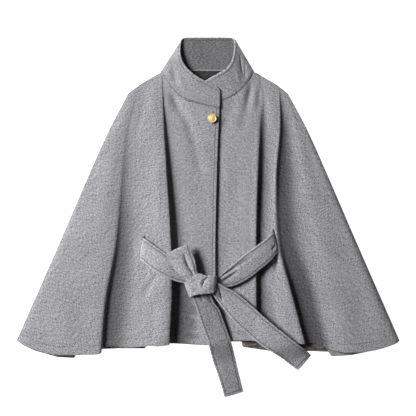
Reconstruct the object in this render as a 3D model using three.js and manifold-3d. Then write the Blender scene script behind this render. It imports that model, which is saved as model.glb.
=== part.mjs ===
// A wool cape coat laid flat on its back, fronts up, with a tall stand collar, one metal button and a tie
// belt that goes in and out through a slit in each front. Millimetres, +Z up out of the surface, +Y towards
// the collar, +X towards the wearer's left. The origin is on the surface, under the middle of the outline.
import * as THREE from "three";
import { mergeVertices } from "three/addons/utils/BufferGeometryUtils.js";
import Module from "manifold-3d";

// Cloth and gaps
const CLOTH = 2;
const COLLAR_CLOTH = 4;
const BELT_CLOTH = 3.2;
const FACING_CLOTH = 1;
const SEAM_GAP = 0.3;
const CUT_CLEARANCE = 0.4;
const KNOT_CLEARANCE = 0.6;

// Back panel
const BACK_TOP = CLOTH;
const SHOULDER = [[108, 350], [143, 332], [167.5, 317], [192, 297]];
const SIDE_SEAM = [[192, 297], [239, 208], [292, 89.5], [356, -58.8], [408, -177.4], [460, -296]];
const BACK_NECK_SAG = 2.6;
const BACK_HEM_RIGHT = [[441, -306.5], [414, -316], [345, -331], [297.5, -334], [290.5, -323], [242, -321], [149, -321],
  [83, -311], [81.5, -298]];
const BACK_HEM_LEFT = [[-146, -298], [-152, -314.5], [-216, -314.5], [-256, -316], [-300, -324], [-316, -326],
  [-323, -337.5], [-362, -335.5], [-389, -328], [-417, -320.5], [-444, -308]];

// Tie belt
const BELT_TILT = 0.06;
const BELT_MIDDLE_Y = -66.5;
const BELT_BAND = 46;
const BELT_EASE = 22;
const BELT_FLAT_Z = BACK_TOP + SEAM_GAP + BELT_CLOTH / 2;

// Inside layers that show: the neck facing in the neck opening, the dark lining below the front hem
const NECK_FACING = [[-88, 350.6], [-88, 332], [-62, 308], [0, 298], [62, 308], [88, 332], [88, 350.6], [0, 352]];
const HEM_LINING_LEFT = [[-389, -300], [-389, -325.5], [-362, -333], [-329, -334.4], [-321, -324], [-300, -321.5],
  [-256, -313.5], [-216, -312], [-154.5, -312], [-150, -300]];
const HEM_LINING_RIGHT = [[84.5, -288], [85, -308.5], [149, -318.5], [242, -318.5], [285, -320.5], [292, -310],
  [292, -296]];
const FACING_EASE = 14;

// Button: a domed disc with a raised rim, on a shank that stands on the cloth
const BUTTON = { x: 9.6, y: 237.6, clothTop: 16.2, radius: 10.5, shankRadius: 2.6, shankHeight: 1.8, edge: 2.2 };
const BUTTON_SIDES = 32;

// Six stations down each front, from the shoulder or neck seam to the hem
const STATIONS = [0, 0.15, 0.35, 0.6, 0.8, 1];
const STATION_STEPS = [5, 5, 7, 6, 6];

const WOOL = { color: 0x9e9da1, roughness: 0.95, metalness: 0 };
const LINING = { color: 0x4b4441, roughness: 0.7, metalness: 0 };
const GOLD = { color: 0xd9b25a, roughness: 0.3, metalness: 1 };

// Turns rows of values into objects with the named columns
function table(columns, rows) {
  return rows.map((row) => Object.fromEntries(columns.map((name, place) => [name, row[place]])));
}

// Each line runs down the cloth from the seam at the top to the hem: where it starts and ends in Y, then its X
// and the height of the middle of the cloth at the six stations, and how finely the cloth is cut up to the next line
const LINE_COLUMNS = ["line", "steps", "top", "hem", "x", "z"];

const RIGHT_FRONT = table(LINE_COLUMNS, [
  ["side seam", 2, 297, -296, [-192, -239, -292, -356, -408, -460], [3.3, 3.3, 3.3, 3.3, 3.3, 3.3]],
  ["side rise", 3, 301, -306, [-188, -233, -282, -343, -394, -443], [3.4, 5, 6, 7, 7.5, 7]],
  ["side drape", 4, 304, -327, [-184, -225, -261, -307, -345, -379], [3.5, 8, 11, 13, 14, 13]],
  ["side crown", 1, 308.5, -326, [-178, -216, -240, -264, -283, -290], [3.6, 9.5, 13.5, 16.5, 18, 18]],
  ["fold B shoulder", 1, 312, -323, [-173, -209, -221, -241, -258, -268], [3.7, 8.5, 12, 15, 17, 17]],
  ["fold B edge", 1, 316, -316, [-168, -201, -209, -228, -245, -257], [3.8, 7, 9.5, 12, 13.5, 13.5]],
  ["fold B under", 1, 317.3, -313, [-166, -199.5, -206, -228.5, -250, -264], [3.8, 6.2, 7.8, 8.2, 8.2, 8.2]],
  ["fold B valley", 2, 320, -310, [-162, -197, -202, -221, -238, -250], [3.9, 5.8, 6.8, 6, 5, 4.9]],
  ["roll foot", 2, 323.3, -312, [-157, -191, -193, -205, -222, -230], [4, 5.9, 7.4, 7.8, 6.4, 6]],
  ["roll flank", 3, 328.3, -310, [-149, -179, -176, -184, -196, -205], [4.2, 8.5, 13, 16, 15, 14]],
  ["roll top", 3, 335, -307, [-137, -155, -150, -148, -155, -163], [4.6, 12, 20, 25, 26, 24]],
  ["roll crest", 3, 343, -307, [-122, -124, -119, -110, -109, -115], [5, 13.5, 22, 26.5, 27.5, 25.5]],
  ["fold A edge", 2, 348.6, -303, [-112, -107.5, -100, -89, -85, -92], [5.4, 11, 16, 18.5, 19, 18]],
  ["fold A under", 2, 346, -302, [-110, -107, -103, -96, -96, -104], [5.4, 7.8, 9.6, 10.4, 10.2, 9.8]],
  ["fold A valley", 2, 340, -302, [-106.5, -102, -95, -83, -80, -86], [5.6, 6.4, 6.4, 7, 5.8, 5.4]],
  ["drag line", 2, 313, -303, [-91, -84, -76, -60, -56, -61], [7.5, 6.6, 6, 6.9, 5.6, 5.2]],
  ["panel", 3, 283, -305, [-57, -56, -47, -35, -30, -30], [11, 8.8, 7.6, 8, 7, 6.4]],
  ["placket fold", 2, 268.5, -306, [-11, -11, -10, -9, -7, -5], [15, 11.2, 10, 10.4, 9.4, 8.6]],
  ["front edge", 0, 262, -306, [27, 23, 19.5, 17, 17.5, 19], [17, 13, 11.8, 11.8, 11, 9.6]],
]);

const LEFT_FRONT = table(LINE_COLUMNS, [
  ["front edge", 2, 271, -295, [-7, -7, -7, -7, -7, -7], [9, 5.4, 4.4, 6.9, 4.4, 4.4]],
  ["under lap", 2, 276.5, -295, [23, 20, 18, 16, 16, 20], [10.5, 6.2, 4.7, 6.9, 4.7, 4.6]],
  ["panel", 3, 282, -295, [44, 44, 44, 44, 44, 49], [11.4, 7.4, 5.6, 7.1, 5.6, 5.2]],
  ["panel rise", 2, 294.5, -295, [69, 71, 73, 78, 78, 78], [11.4, 9.6, 8.6, 9.2, 8.6, 7.8]],
  ["panel flank", 2, 317.5, -295, [91, 91, 92, 92, 91, 91], [9, 11.6, 12, 12.6, 12, 10.8]],
  ["panel crest", 2, 348, -295, [107, 114, 112, 104, 102, 102], [6, 13, 16, 17.6, 16.6, 14.6]],
  ["panel edge", 2, 340.5, -295, [126, 131, 126, 121, 119, 120], [5.2, 11.4, 13.6, 15, 14.2, 12.4]],
  ["gap under", 1, 339.5, -295, [128, 131.4, 125.4, 116.5, 113, 115], [5.2, 9, 9.6, 9.8, 9, 8.2]],
  ["gap", 1, 338, -295, [131, 136, 131, 126, 125, 126], [5.2, 7, 6.2, 6.9, 5.2, 5.1]],
  ["strip foot", 2, 336, -295, [135, 140, 137, 133, 133, 136], [5.1, 9, 11, 12, 12, 11]],
  ["strip edge", 3, 332.5, -295.5, [142, 147, 143, 140, 143, 148], [5, 11.6, 17, 20, 20.4, 19]],
  ["strip crest", 3, 324.5, -297, [156, 162, 152, 152, 167, 188], [4.8, 12.6, 19, 23, 23.6, 22]],
  ["strip flank", 2, 316, -301, [168, 174, 163, 166, 193, 220], [4.6, 10.2, 14.6, 19, 20, 19.4]],
  ["fold C edge", 2, 313, -302, [172, 182, 170, 176, 209, 234], [4.5, 7.8, 9.6, 13, 14.4, 14]],
  ["fold C under", 2, 311.5, -301, [174, 184, 171.5, 173, 199, 223], [4.4, 6.4, 7.6, 8.8, 8.6, 8.4]],
  ["fold C valley", 2, 309.5, -301, [176.5, 188, 181, 188, 215, 239], [4.3, 5.5, 6.2, 6.4, 5.2, 5]],
  ["side foot", 2, 307.5, -312, [179, 196, 203, 216, 237, 259], [4.1, 5.4, 6.8, 6.6, 5.8, 5.4]],
  ["side flank", 3, 305.3, -322, [182, 206, 230, 252, 269, 290], [3.9, 6.4, 9, 10, 10, 9.4]],
  ["side crown", 3, 303, -324, [185, 220, 259, 302, 329, 353], [3.8, 7, 11, 13.4, 14, 13.4]],
  ["side drape", 3, 300.5, -312, [188, 231, 278, 338, 380, 412], [3.6, 6, 8.4, 9.8, 10.4, 9.8]],
  ["side rise", 2, 298.8, -303, [190, 236, 286, 348, 397, 443], [3.4, 4.4, 5, 5.4, 5.8, 5.4]],
  ["side seam", 0, 297, -296, [192, 239, 292, 356, 408, 460], [3.3, 3.3, 3.3, 3.3, 3.3, 3.3]],
]);

// The collar from its under end, round the back of the neck, to its upper end: the neck seam below, the rim above
const COLLAR_COLUMNS = ["station", "steps", "seamX", "seamY", "seamZ", "rimX", "rimY", "rimZ"];

const COLLAR = table(COLLAR_COLUMNS, [
  ["under end", 2, -7, 272.4, 9.6, -22, 318, 13],
  ["under lap", 3, 20, 277, 10.6, -2, 329, 16],
  ["left front", 3, 42, 283, 11.4, 21, 341.5, 20.5],
  ["left cheek", 3, 67, 296, 11.8, 45, 356, 25],
  ["left jaw", 2, 85, 313, 11.6, 58, 374, 27],
  ["left side", 2, 97, 331, 10.8, 63.5, 396, 24.5],
  ["left neck", 2, 104.5, 345, 9.2, 65, 414, 19.5],
  ["left fold", 2, 108.5, 351.4, 6, 63.6, 427.5, 10.6],
  ["left back", 2, 98, 352.6, 2, 57, 431, 2.4],
  ["back", 4, 56, 353.6, 2, 34, 432, 2],
  ["centre back", 4, 0, 354, 2, 0, 432, 2],
  ["back", 2, -56, 353.6, 2, -34, 432, 2],
  ["right back", 2, -98, 352.6, 2, -57, 431, 2.4],
  ["right fold", 2, -111.5, 351, 6, -63.4, 426.5, 11],
  ["right neck", 2, -107.5, 342, 9.6, -67, 408, 22],
  ["right side", 2, -99.5, 328.5, 11.2, -66.5, 389, 28],
  ["right jaw", 3, -86, 310, 12.8, -59, 368, 31],
  ["right cheek", 3, -64, 289, 14, -44.5, 350.5, 31],
  ["right front", 3, -38, 279, 15, -25, 335.5, 29],
  ["right lap", 2, -8, 269.5, 16, -2, 323, 25.5],
  ["upper lap", 1, 14, 265, 16.8, 17, 314, 21.6],
  ["upper corner", 1, 22, 263.4, 17.1, 24.5, 309.5, 20.6],
  ["upper end", 0, 27, 262.8, 17.2, 28, 302, 20],
]);
const COLLAR_RISES = 6;

// Stretches of belt: the upper and lower edge of each cross line of the band, and the heights of the band's middle
const BELT_COLUMNS = ["upperX", "upperY", "upperZ", "lowerX", "lowerY", "lowerZ"];

const BELT_LEFT = table(BELT_COLUMNS, [
  [-139, -50, 3.9, -147, -96, 3.9],
  [-147, -49.5, 4.3, -155.5, -97, 4.3],
  [-153.6, -49.2, 8.4, -162, -99, 8.4],
  [-155, -49.6, 14, -163.4, -100, 14],
  [-153.8, -50.6, 20, -162.2, -101, 19.5],
  [-150, -53.2, 26, -158.8, -102.4, 25],
  [-143, -57.5, 29.2, -153, -106, 28.4],
  [-130, -67, 30.6, -142, -115.5, 30.4],
  [-114, -78, 30.8, -123, -128.8, 31],
  [-96, -90.7, 29.2, -100, -140.4, 29.4],
  [-77, -104.4, 25.8, -79, -150, 26],
  [-58, -120, 22.6, -60, -155.5, 22.8],
  [-40, -136, 21, -42, -162, 21],
]);

const BELT_RIGHT = table(BELT_COLUMNS, [
  [142, -35, 3.9, 153, -80, 3.9],
  [150, -34.6, 4.3, 161, -81, 4.3],
  [156.4, -34.6, 8.4, 167.2, -82, 8.4],
  [157.6, -35, 14, 168.4, -83, 13.6],
  [155.6, -37, 20, 167, -84.4, 18.6],
  [151, -40.6, 25, 163, -87.4, 23],
  [138, -52.8, 26.2, 149, -102.7, 26],
  [113, -70.8, 24, 124, -123.6, 24],
  [88.3, -88.6, 22, 97.2, -144.7, 22],
  [64.8, -108.5, 21, 72, -158.4, 20],
  [43.2, -127.2, 21, 46.8, -165.6, 19],
  [22.8, -144.7, 22, 26.4, -163.2, 20],
  [8, -152, 22, 8, -166, 20],
]);

const BELT_LOOP = table(BELT_COLUMNS, [
  [-24, -134, 33, -50, -153, 33],
  [-28, -126, 37, -59, -145, 38],
  [-33.6, -104.4, 38.4, -73, -127, 41.4],
  [-40.8, -85.2, 38, -87, -106.5, 42],
  [-48, -67.6, 36, -96, -90.6, 40.6],
  [-50, -64, 33.4, -98.4, -86.4, 38],
  [-47.4, -68.4, 30.8, -95.8, -91.4, 35.4],
  [-41.6, -86, 30, -86, -107.5, 34.6],
  [-35, -105, 28.4, -74, -126, 33],
  [-30, -126, 28, -62, -143, 30],
]);

const BELT_TAIL_DOWN = table(BELT_COLUMNS, [
  [3, -170, 24, -34, -177, 24],
  [6, -183, 22, -36, -190, 22],
  [14, -205, 18, -29, -212, 18],
  [25, -218, 15.6, -21.6, -234, 15.6],
  [36, -247, 13.4, -11, -266, 13],
  [47, -276, 13.4, -2, -290, 13],
  [54, -297, 13.6, 3, -308, 13],
  [59, -315, 8.4, 8, -328, 7.6],
  [64, -336, 2.4, 14, -350, 2.4],
  [71, -366, 1.6, 22, -372.5, 1.6],
  [78, -394, 1.6, 33, -406, 1.6],
  [84, -419, 1.6, 40, -431.7, 1.6],
]);

const BELT_TAIL_SIDE = table(BELT_COLUMNS, [
  [14, -152, 26.4, 2, -172, 25.6],
  [24, -156.6, 27, 12, -184, 23.6],
  [41, -167, 26, 24, -201, 21],
  [61, -177, 24.8, 42, -223, 20.6],
  [95, -203.5, 24.4, 68, -254, 21.6],
  [130, -235, 26.4, 98, -280, 20.6],
  [163, -263, 28, 125, -303, 23],
  [197, -290, 28, 156, -323, 19.6],
  [220, -308, 22.6, 178, -338, 9],
  [236, -320.5, 12, 197, -353.5, 2.4],
  [247, -331, 5, 215.8, -367.4, 1.6],
]);
const BELT_BACK = table(BELT_COLUMNS, [
  [-138.6, -50, BELT_FLAT_Z, -146.6, -96, BELT_FLAT_Z],
  [0, -43.5, BELT_FLAT_Z, 0, -89.5, BELT_FLAT_Z],
  [141.6, -35, BELT_FLAT_Z, 152.6, -80, BELT_FLAT_Z],
]);
const BAND_STEPS = 3;
const BAND_COLUMNS = 5;

// Knot: its outline seen from above, its height, and how square its shoulders are
const KNOT = {
  outline: [[-55, -156], [-38, -143.5], [-21.5, -133], [-8, -139.5], [4, -139.6], [19, -140], [20.6, -155],
    [17, -171.6], [9, -181], [-14, -184], [-37, -186.6], [-43, -190], [-49, -174]],
  base: 13.5, top: 40, rings: 6, squareness: 0.45,
};
const KNOT_POINTS = 32;

function pointOf(x, y, z) {
  return new THREE.Vector3(x, y, z);
}

// Smooth curve through points, read at a place counted in points from its start
function smoothAt(points, place) {
  const curve = new THREE.CatmullRomCurve3(points, false, "centripetal");
  return curve.getPoint(place / (points.length - 1));
}

// Places along a run of points, with the given number of steps between one point and the next
function placesAlong(steps) {
  const places = steps.flatMap((count, start) => Array.from({ length: count }, (_, k) => start + k / count));
  places.push(steps.length);
  return places;
}

// Distance from a point to the box round an outline, nothing inside it
function outsideBox(outline, x, y) {
  const xs = outline.map((corner) => corner[0]);
  const ys = outline.map((corner) => corner[1]);
  const overX = Math.max(Math.min(...xs) - x, x - Math.max(...xs), 0);
  const overY = Math.max(Math.min(...ys) - y, y - Math.max(...ys), 0);
  return Math.hypot(overX, overY);
}

// Height of what lies on the back panel inside the coat: the panel itself, a facing, or the belt across it
function insideHeight(x, y) {
  const fromBelt = Math.abs(y - BELT_MIDDLE_Y - BELT_TILT * x) - BELT_BAND / 2 - 2;
  const beltRise = 1 - THREE.MathUtils.smoothstep(fromBelt, 0, BELT_EASE);
  const fromFacing = Math.min(...[NECK_FACING, HEM_LINING_LEFT, HEM_LINING_RIGHT].map((o) => outsideBox(o, x, y)));
  const facingRise = 1 - THREE.MathUtils.smoothstep(fromFacing, 0, FACING_EASE);
  const rise = Math.max(beltRise * (BELT_CLOTH + SEAM_GAP), facingRise * (FACING_CLOTH + SEAM_GAP));
  return BACK_TOP + SEAM_GAP + rise;
}

// Unit normal of a grid of points, up and out of the cloth
function normalAt(grid, row, column) {
  const lastRow = grid.length - 1;
  const lastColumn = grid[0].length - 1;
  const along = grid[Math.min(row + 1, lastRow)][column].clone().sub(grid[Math.max(row - 1, 0)][column]);
  const across = grid[row][Math.min(column + 1, lastColumn)].clone().sub(grid[row][Math.max(column - 1, 0)]);
  return along.cross(across).normalize();
}

// Closed mesh from points and triangles
function closedMesh(points, triangles) {
  const geometry = new THREE.BufferGeometry();
  geometry.setAttribute("position", new THREE.Float32BufferAttribute(points.flatMap((p) => [p.x, p.y, p.z]), 3));
  geometry.setIndex(triangles);
  return geometry;
}

// A wall of cloth: a grid of points, its rows down the cloth, thickened by half to each side and closed
// at its edges, never lower than the height that lies under it
function wall(grid, thickness, heightUnder) {
  const rows = grid.length;
  const columns = grid[0].length;
  const points = [];
  for (const side of [1, -1]) {
    for (let row = 0; row < rows; row += 1) {
      for (let column = 0; column < columns; column += 1) {
        const point = grid[row][column].clone();
        point.addScaledVector(normalAt(grid, row, column), side * thickness / 2);
        point.z = Math.max(point.z, heightUnder(point.x, point.y));
        points.push(point);
      }
    }
  }
  const outer = (row, column) => row * columns + column;
  const inner = (row, column) => rows * columns + outer(row, column);
  const triangles = [];
  const quad = (a, b, c, d) => triangles.push(a, b, c, a, c, d);
  for (let row = 0; row < rows - 1; row += 1) {
    for (let column = 0; column < columns - 1; column += 1) {
      quad(outer(row, column), outer(row + 1, column), outer(row + 1, column + 1), outer(row, column + 1));
      quad(inner(row, column), inner(row, column + 1), inner(row + 1, column + 1), inner(row + 1, column));
    }
    const last = columns - 1;
    quad(outer(row, 0), inner(row, 0), inner(row + 1, 0), outer(row + 1, 0));
    quad(outer(row, last), outer(row + 1, last), inner(row + 1, last), inner(row, last));
  }
  for (let column = 0; column < columns - 1; column += 1) {
    const last = rows - 1;
    quad(outer(0, column), outer(0, column + 1), inner(0, column + 1), inner(0, column));
    quad(outer(last, column), inner(last, column), inner(last, column + 1), outer(last, column + 1));
  }
  return closedMesh(points, triangles);
}

// One front: each section is a smooth curve across its lines, each line a smooth curve through its stations
function frontGrid(lines) {
  const rails = lines.map((line) => STATIONS.map((station, k) => (
    pointOf(line.x[k], THREE.MathUtils.lerp(line.top, line.hem, station), line.z[k]))));
  const places = placesAlong(lines.slice(0, -1).map((line) => line.steps));
  return placesAlong(STATION_STEPS).map((down) => {
    const section = rails.map((rail) => smoothAt(rail, down));
    return places.map((place) => {
      const point = smoothAt(section, place);
      point.z = Math.max(point.z, insideHeight(point.x, point.y) + CLOTH / 2);
      return point;
    });
  });
}

// The stand collar: a strip from neck seam to rim, bowed a little outwards, carried round the neck
function collarGrid() {
  const seam = COLLAR.map((row) => pointOf(row.seamX, row.seamY, row.seamZ));
  const rim = COLLAR.map((row) => pointOf(row.rimX, row.rimY, row.rimZ));
  const places = placesAlong(COLLAR.slice(0, -1).map((row) => row.steps));
  return Array.from({ length: COLLAR_RISES + 1 }, (_, k) => {
    const down = k / COLLAR_RISES;
    return places.map((place) => smoothAt(rim, place).lerp(smoothAt(seam, place), down));
  });
}

// A band of belt: cross lines from its upper to its lower edge, carried along smooth edges, and with room
// added all round where it is used to cut
function band(rows, room) {
  const upper = rows.map((row) => pointOf(row.upperX, row.upperY, row.upperZ));
  const lower = rows.map((row) => pointOf(row.lowerX, row.lowerY, row.lowerZ));
  const places = placesAlong(Array(rows.length - 1).fill(BAND_STEPS));
  const grid = Array.from({ length: BAND_COLUMNS }, (_, k) => places.map((place) => {
    const from = smoothAt(upper, place);
    const to = smoothAt(lower, place);
    const over = room / from.distanceTo(to);
    return from.clone().lerp(to, THREE.MathUtils.lerp(-over, 1 + over, k / (BAND_COLUMNS - 1)));
  }));
  return wall(grid, BELT_CLOTH + 2 * room, () => 0);
}

// A flat piece of cloth: an outline seen from above, between two heights
function flatPiece(outline, bottom, thickness) {
  const shape = new THREE.Shape(outline.map(([x, y]) => new THREE.Vector2(x, y)));
  const geometry = new THREE.ExtrudeGeometry(shape, { depth: thickness, bevelEnabled: false });
  return geometry.translate(0, 0, bottom);
}

// Points of a smooth line in the plane, some steps between each given point and the next
function smoothLine(corners, steps) {
  const points = corners.map(([x, y]) => pointOf(x, y, 0));
  return placesAlong(Array(corners.length - 1).fill(steps)).map((place) => {
    const point = smoothAt(points, place);
    return [point.x, point.y];
  });
}

// The back: neck, shoulder and side seam on the wearer's left, the hem, then the other side seam and shoulder
function backOutline() {
  const shoulder = smoothLine(SHOULDER, 3);
  const side = smoothLine(SIDE_SEAM, 3);
  const mirrored = (points) => points.map(([x, y]) => [-x, y]).reverse();
  const neckPoint = SHOULDER[0];
  const neck = [-0.5, 0, 0.5].map((part) => (
    [part * 2 * neckPoint[0], neckPoint[1] + BACK_NECK_SAG * (1 - 4 * part * part)]));
  return [neck[1], ...shoulder, ...side.slice(1), ...BACK_HEM_RIGHT, ...BACK_HEM_LEFT,
    ...mirrored(side), ...mirrored(shoulder).slice(1)];
}

// Knot: rings of the outline drawn in towards the top, closed below and above
function knotGeometry(room) {
  const outline = KNOT.outline.map(([x, y]) => pointOf(x, y, 0));
  const curve = new THREE.CatmullRomCurve3(outline, true, "centripetal");
  const middle = outline.reduce((sum, p) => sum.add(p), pointOf(0, 0, 0)).divideScalar(outline.length);
  const loop = Array.from({ length: KNOT_POINTS }, (_, k) => curve.getPoint(k / KNOT_POINTS));
  const height = KNOT.top - KNOT.base;
  const points = [pointOf(middle.x, middle.y, KNOT.base - room)];
  for (let ring = 0; ring < KNOT.rings; ring += 1) {
    const angle = (ring / KNOT.rings - 0.35) * Math.PI / 2 / 0.65;
    const inwards = Math.cos(Math.max(angle, -0.9)) ** KNOT.squareness;
    const z = ring === 0 ? KNOT.base - room : KNOT.base + height * (0.35 + 0.65 * Math.sin(angle));
    for (const point of loop) {
      const arm = point.clone().sub(middle);
      arm.setLength(arm.length() * inwards + room);
      points.push(pointOf(middle.x + arm.x, middle.y + arm.y, z + (ring === 0 ? 0 : room)));
    }
  }
  points.push(pointOf(middle.x, middle.y, KNOT.top + room));
  const triangles = [];
  const at = (ring, k) => 1 + ring * KNOT_POINTS + (k % KNOT_POINTS);
  for (let k = 0; k < KNOT_POINTS; k += 1) {
    triangles.push(0, at(0, k), at(0, k + 1));
    triangles.push(points.length - 1, at(KNOT.rings - 1, k + 1), at(KNOT.rings - 1, k));
    for (let ring = 0; ring < KNOT.rings - 1; ring += 1) {
      triangles.push(at(ring, k), at(ring + 1, k), at(ring + 1, k + 1));
      triangles.push(at(ring, k), at(ring + 1, k + 1), at(ring, k + 1));
    }
  }
  return closedMesh(points, triangles);
}

// Button, turned from a profile of radius and height
function buttonGeometry() {
  const { radius, shankRadius, shankHeight, edge } = BUTTON;
  const rimTop = shankHeight + edge;
  const profile = [[0, 0], [shankRadius, 0], [shankRadius, shankHeight], [radius - 0.7, shankHeight],
    [radius, shankHeight + 0.6], [radius, rimTop - 0.5], [radius - 0.6, rimTop], [radius - 1.3, rimTop - 0.1],
    [radius - 2, rimTop - 0.6], [radius * 0.55, rimTop + 0.2], [radius * 0.3, rimTop + 0.6], [0, rimTop + 0.7]];
  const geometry = new THREE.LatheGeometry(profile.map(([r, h]) => new THREE.Vector2(r, h)), BUTTON_SIDES);
  return geometry.rotateX(Math.PI / 2).translate(BUTTON.x, BUTTON.y, BUTTON.clothTop + SEAM_GAP);
}

const wasm = await Module();
wasm.setup();

function toSolid(geometry) {
  const bare = geometry.clone();
  bare.deleteAttribute("normal");
  bare.deleteAttribute("uv");
  const merged = mergeVertices(bare, 1e-4);
  return new wasm.Manifold(new wasm.Mesh({
    numProp: 3,
    vertProperties: new Float32Array(merged.attributes.position.array),
    triVerts: new Uint32Array(merged.index.array),
  }));
}

function toGeometry(solid) {
  const mesh = solid.getMesh();
  const geometry = new THREE.BufferGeometry();
  geometry.setAttribute("position", new THREE.BufferAttribute(new Float32Array(mesh.vertProperties), 3));
  geometry.setIndex(new THREE.BufferAttribute(new Uint32Array(mesh.triVerts), 1));
  return geometry;
}

// A piece with the room for other pieces cut out of it
function cutBy(geometry, cutters) {
  return toGeometry(cutters.reduce((solid, cutter) => solid.subtract(toSolid(cutter)), toSolid(geometry)));
}

const coat = new THREE.Group();

function add(name, geometry, finish) {
  const mesh = new THREE.Mesh(geometry, new THREE.MeshStandardMaterial(finish));
  mesh.name = name;
  coat.add(mesh);
}

const rightGrid = frontGrid(RIGHT_FRONT);
const leftGrid = frontGrid(LEFT_FRONT);
const knotRoom = knotGeometry(KNOT_CLEARANCE);

add("back_panel", flatPiece(backOutline(), 0, CLOTH), WOOL);
add("neck_facing", flatPiece(NECK_FACING, BACK_TOP + SEAM_GAP, FACING_CLOTH), LINING);
add("hem_lining_left", flatPiece(HEM_LINING_LEFT, BACK_TOP + SEAM_GAP, FACING_CLOTH), LINING);
add("hem_lining_right", flatPiece(HEM_LINING_RIGHT, BACK_TOP + SEAM_GAP, FACING_CLOTH), LINING);
add("right_front", cutBy(wall(rightGrid, CLOTH, insideHeight), [band(BELT_LEFT, CUT_CLEARANCE)]), WOOL);
add("left_front", cutBy(wall(leftGrid, CLOTH, insideHeight), [band(BELT_RIGHT, CUT_CLEARANCE)]), WOOL);
add("stand_collar", wall(collarGrid(), COLLAR_CLOTH, () => 0), WOOL);
add("belt_back", band(BELT_BACK, 0), WOOL);
add("belt_left", cutBy(band(BELT_LEFT, 0), [knotRoom]), WOOL);
add("belt_right", cutBy(band(BELT_RIGHT, 0), [knotRoom]), WOOL);
add("belt_loop", cutBy(band(BELT_LOOP, 0), [knotRoom]), WOOL);
add("belt_tail_down", cutBy(band(BELT_TAIL_DOWN, 0), [knotRoom]), WOOL);
add("belt_tail_side", cutBy(band(BELT_TAIL_SIDE, 0), [knotRoom]), WOOL);
add("belt_knot", knotGeometry(0), WOOL);
add("button", buttonGeometry(), GOLD);

export default coat;
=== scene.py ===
# %% [markdown]
# # A wool cape coat, laid flat
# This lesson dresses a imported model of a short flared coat. The coat lies on its back with its fronts up: a tall
# stand collar, one metal button, and a tie belt that goes in and out through a slit in each front.
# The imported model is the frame. It holds the real sizes, and every piece made here takes the place of one of
# its solids, in the same spot, with a finer surface and a finish.

# %% Load the frame
import math

import bpy
import numpy as np
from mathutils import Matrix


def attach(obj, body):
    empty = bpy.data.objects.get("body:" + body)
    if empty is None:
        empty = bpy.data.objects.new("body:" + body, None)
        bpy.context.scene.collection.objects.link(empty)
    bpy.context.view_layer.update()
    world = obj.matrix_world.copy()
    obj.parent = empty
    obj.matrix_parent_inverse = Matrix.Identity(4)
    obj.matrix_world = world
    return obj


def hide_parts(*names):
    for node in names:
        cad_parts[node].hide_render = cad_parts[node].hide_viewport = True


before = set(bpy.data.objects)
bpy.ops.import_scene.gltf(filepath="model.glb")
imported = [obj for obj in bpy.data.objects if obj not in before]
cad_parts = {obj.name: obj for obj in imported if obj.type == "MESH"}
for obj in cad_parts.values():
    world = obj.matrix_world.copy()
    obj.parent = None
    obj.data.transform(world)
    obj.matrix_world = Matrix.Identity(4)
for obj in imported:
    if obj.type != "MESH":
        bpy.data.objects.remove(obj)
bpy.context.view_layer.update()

# %% [markdown]
# ## Camera
# A garment photographed flat is shot from straight above with a long lens, so that near folds don't look bigger
# than far ones. The picture is as wide as 416 of its pixels, and 2.4 mm of cloth fits in each. The coat's own
# middle is a little below the middle of the picture, so the camera looks at a point nearer the collar.

# %% Camera straight above
MM = 0.001
PICTURE_PIXELS = 416
MM_PER_PIXEL = 2.4
LENS_MM = 100
SENSOR_MM = 36
AIM_Y_MM = 22.8
CLOTH_LEVEL_MM = 12

picture_mm = PICTURE_PIXELS * MM_PER_PIXEL
camera_height_mm = picture_mm * LENS_MM / SENSOR_MM + CLOTH_LEVEL_MM
camera_data = bpy.data.cameras.new("camera")
camera_data.lens = LENS_MM
camera_data.sensor_width = SENSOR_MM
camera = bpy.data.objects.new("camera", camera_data)
camera.location = (0, AIM_Y_MM * MM, camera_height_mm * MM)
bpy.context.scene.collection.objects.link(camera)
bpy.context.scene.camera = camera
bpy.context.scene.view_settings.view_transform = "Standard"
print("the camera is", round(camera_height_mm * MM, 3), "metres above the cloth")

# %% [markdown]
# ## Smooth curves from few points
# Cloth has no corners, so a fold is best described by a few points and a curve that passes through all of them.
# The curve used here spaces its steps by the square root of the distance between points, which keeps it from
# looping where two points are close together, as they are at the edge of a fold.

# %% A curve through points, read at many places at once
SMALLEST_KNOT = 1e-4


def smooth_through(points, places):
    """Points has the shape (points, ..., 3), and places are counted in points from the start. Between two points
    the curve is a cubic whose slopes come from the points before and after, with knots apart by the square root
    of the distance. Gives the shape (places, ..., 3)."""
    points = np.asarray(points, float)
    before = 2 * points[:1] - points[1:2]
    after = 2 * points[-1:] - points[-2:-1]
    padded = np.concatenate([before, points, after])
    start = np.clip(np.floor(places).astype(int), 0, len(points) - 2)
    part = (places - start).reshape((-1,) + (1,) * (points.ndim - 1))
    a, b, c, d = (padded[start + k] for k in range(4))
    knot = [np.sqrt(np.linalg.norm(q - p, axis=-1, keepdims=True)) for p, q in ((a, b), (b, c), (c, d))]
    middle = np.where(knot[1] < SMALLEST_KNOT, 1.0, knot[1])
    first = np.where(knot[0] < SMALLEST_KNOT, middle, knot[0])
    last = np.where(knot[2] < SMALLEST_KNOT, middle, knot[2])
    slope_b = ((b - a) / first - (c - a) / (first + middle) + (c - b) / middle) * middle
    slope_c = ((c - b) / middle - (d - b) / (middle + last) + (d - c) / last) * middle
    bend = -3 * b + 3 * c - 2 * slope_b - slope_c
    twist = 2 * b - 2 * c + slope_b + slope_c
    return b + part * (slope_b + part * (bend + part * twist))


def places_along(steps):
    """Places along a run of points: so many equal steps from each point to the next, and the last point."""
    runs = [start + np.arange(count) / count for start, count in enumerate(steps)]
    return np.concatenate(runs + [[float(len(steps))]])


def smoothstep(value, low, high):
    """0 below low, 1 above high, and a soft S between."""
    part = np.clip((value - low) / (high - low), 0, 1)
    return part * part * (3 - 2 * part)


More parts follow.
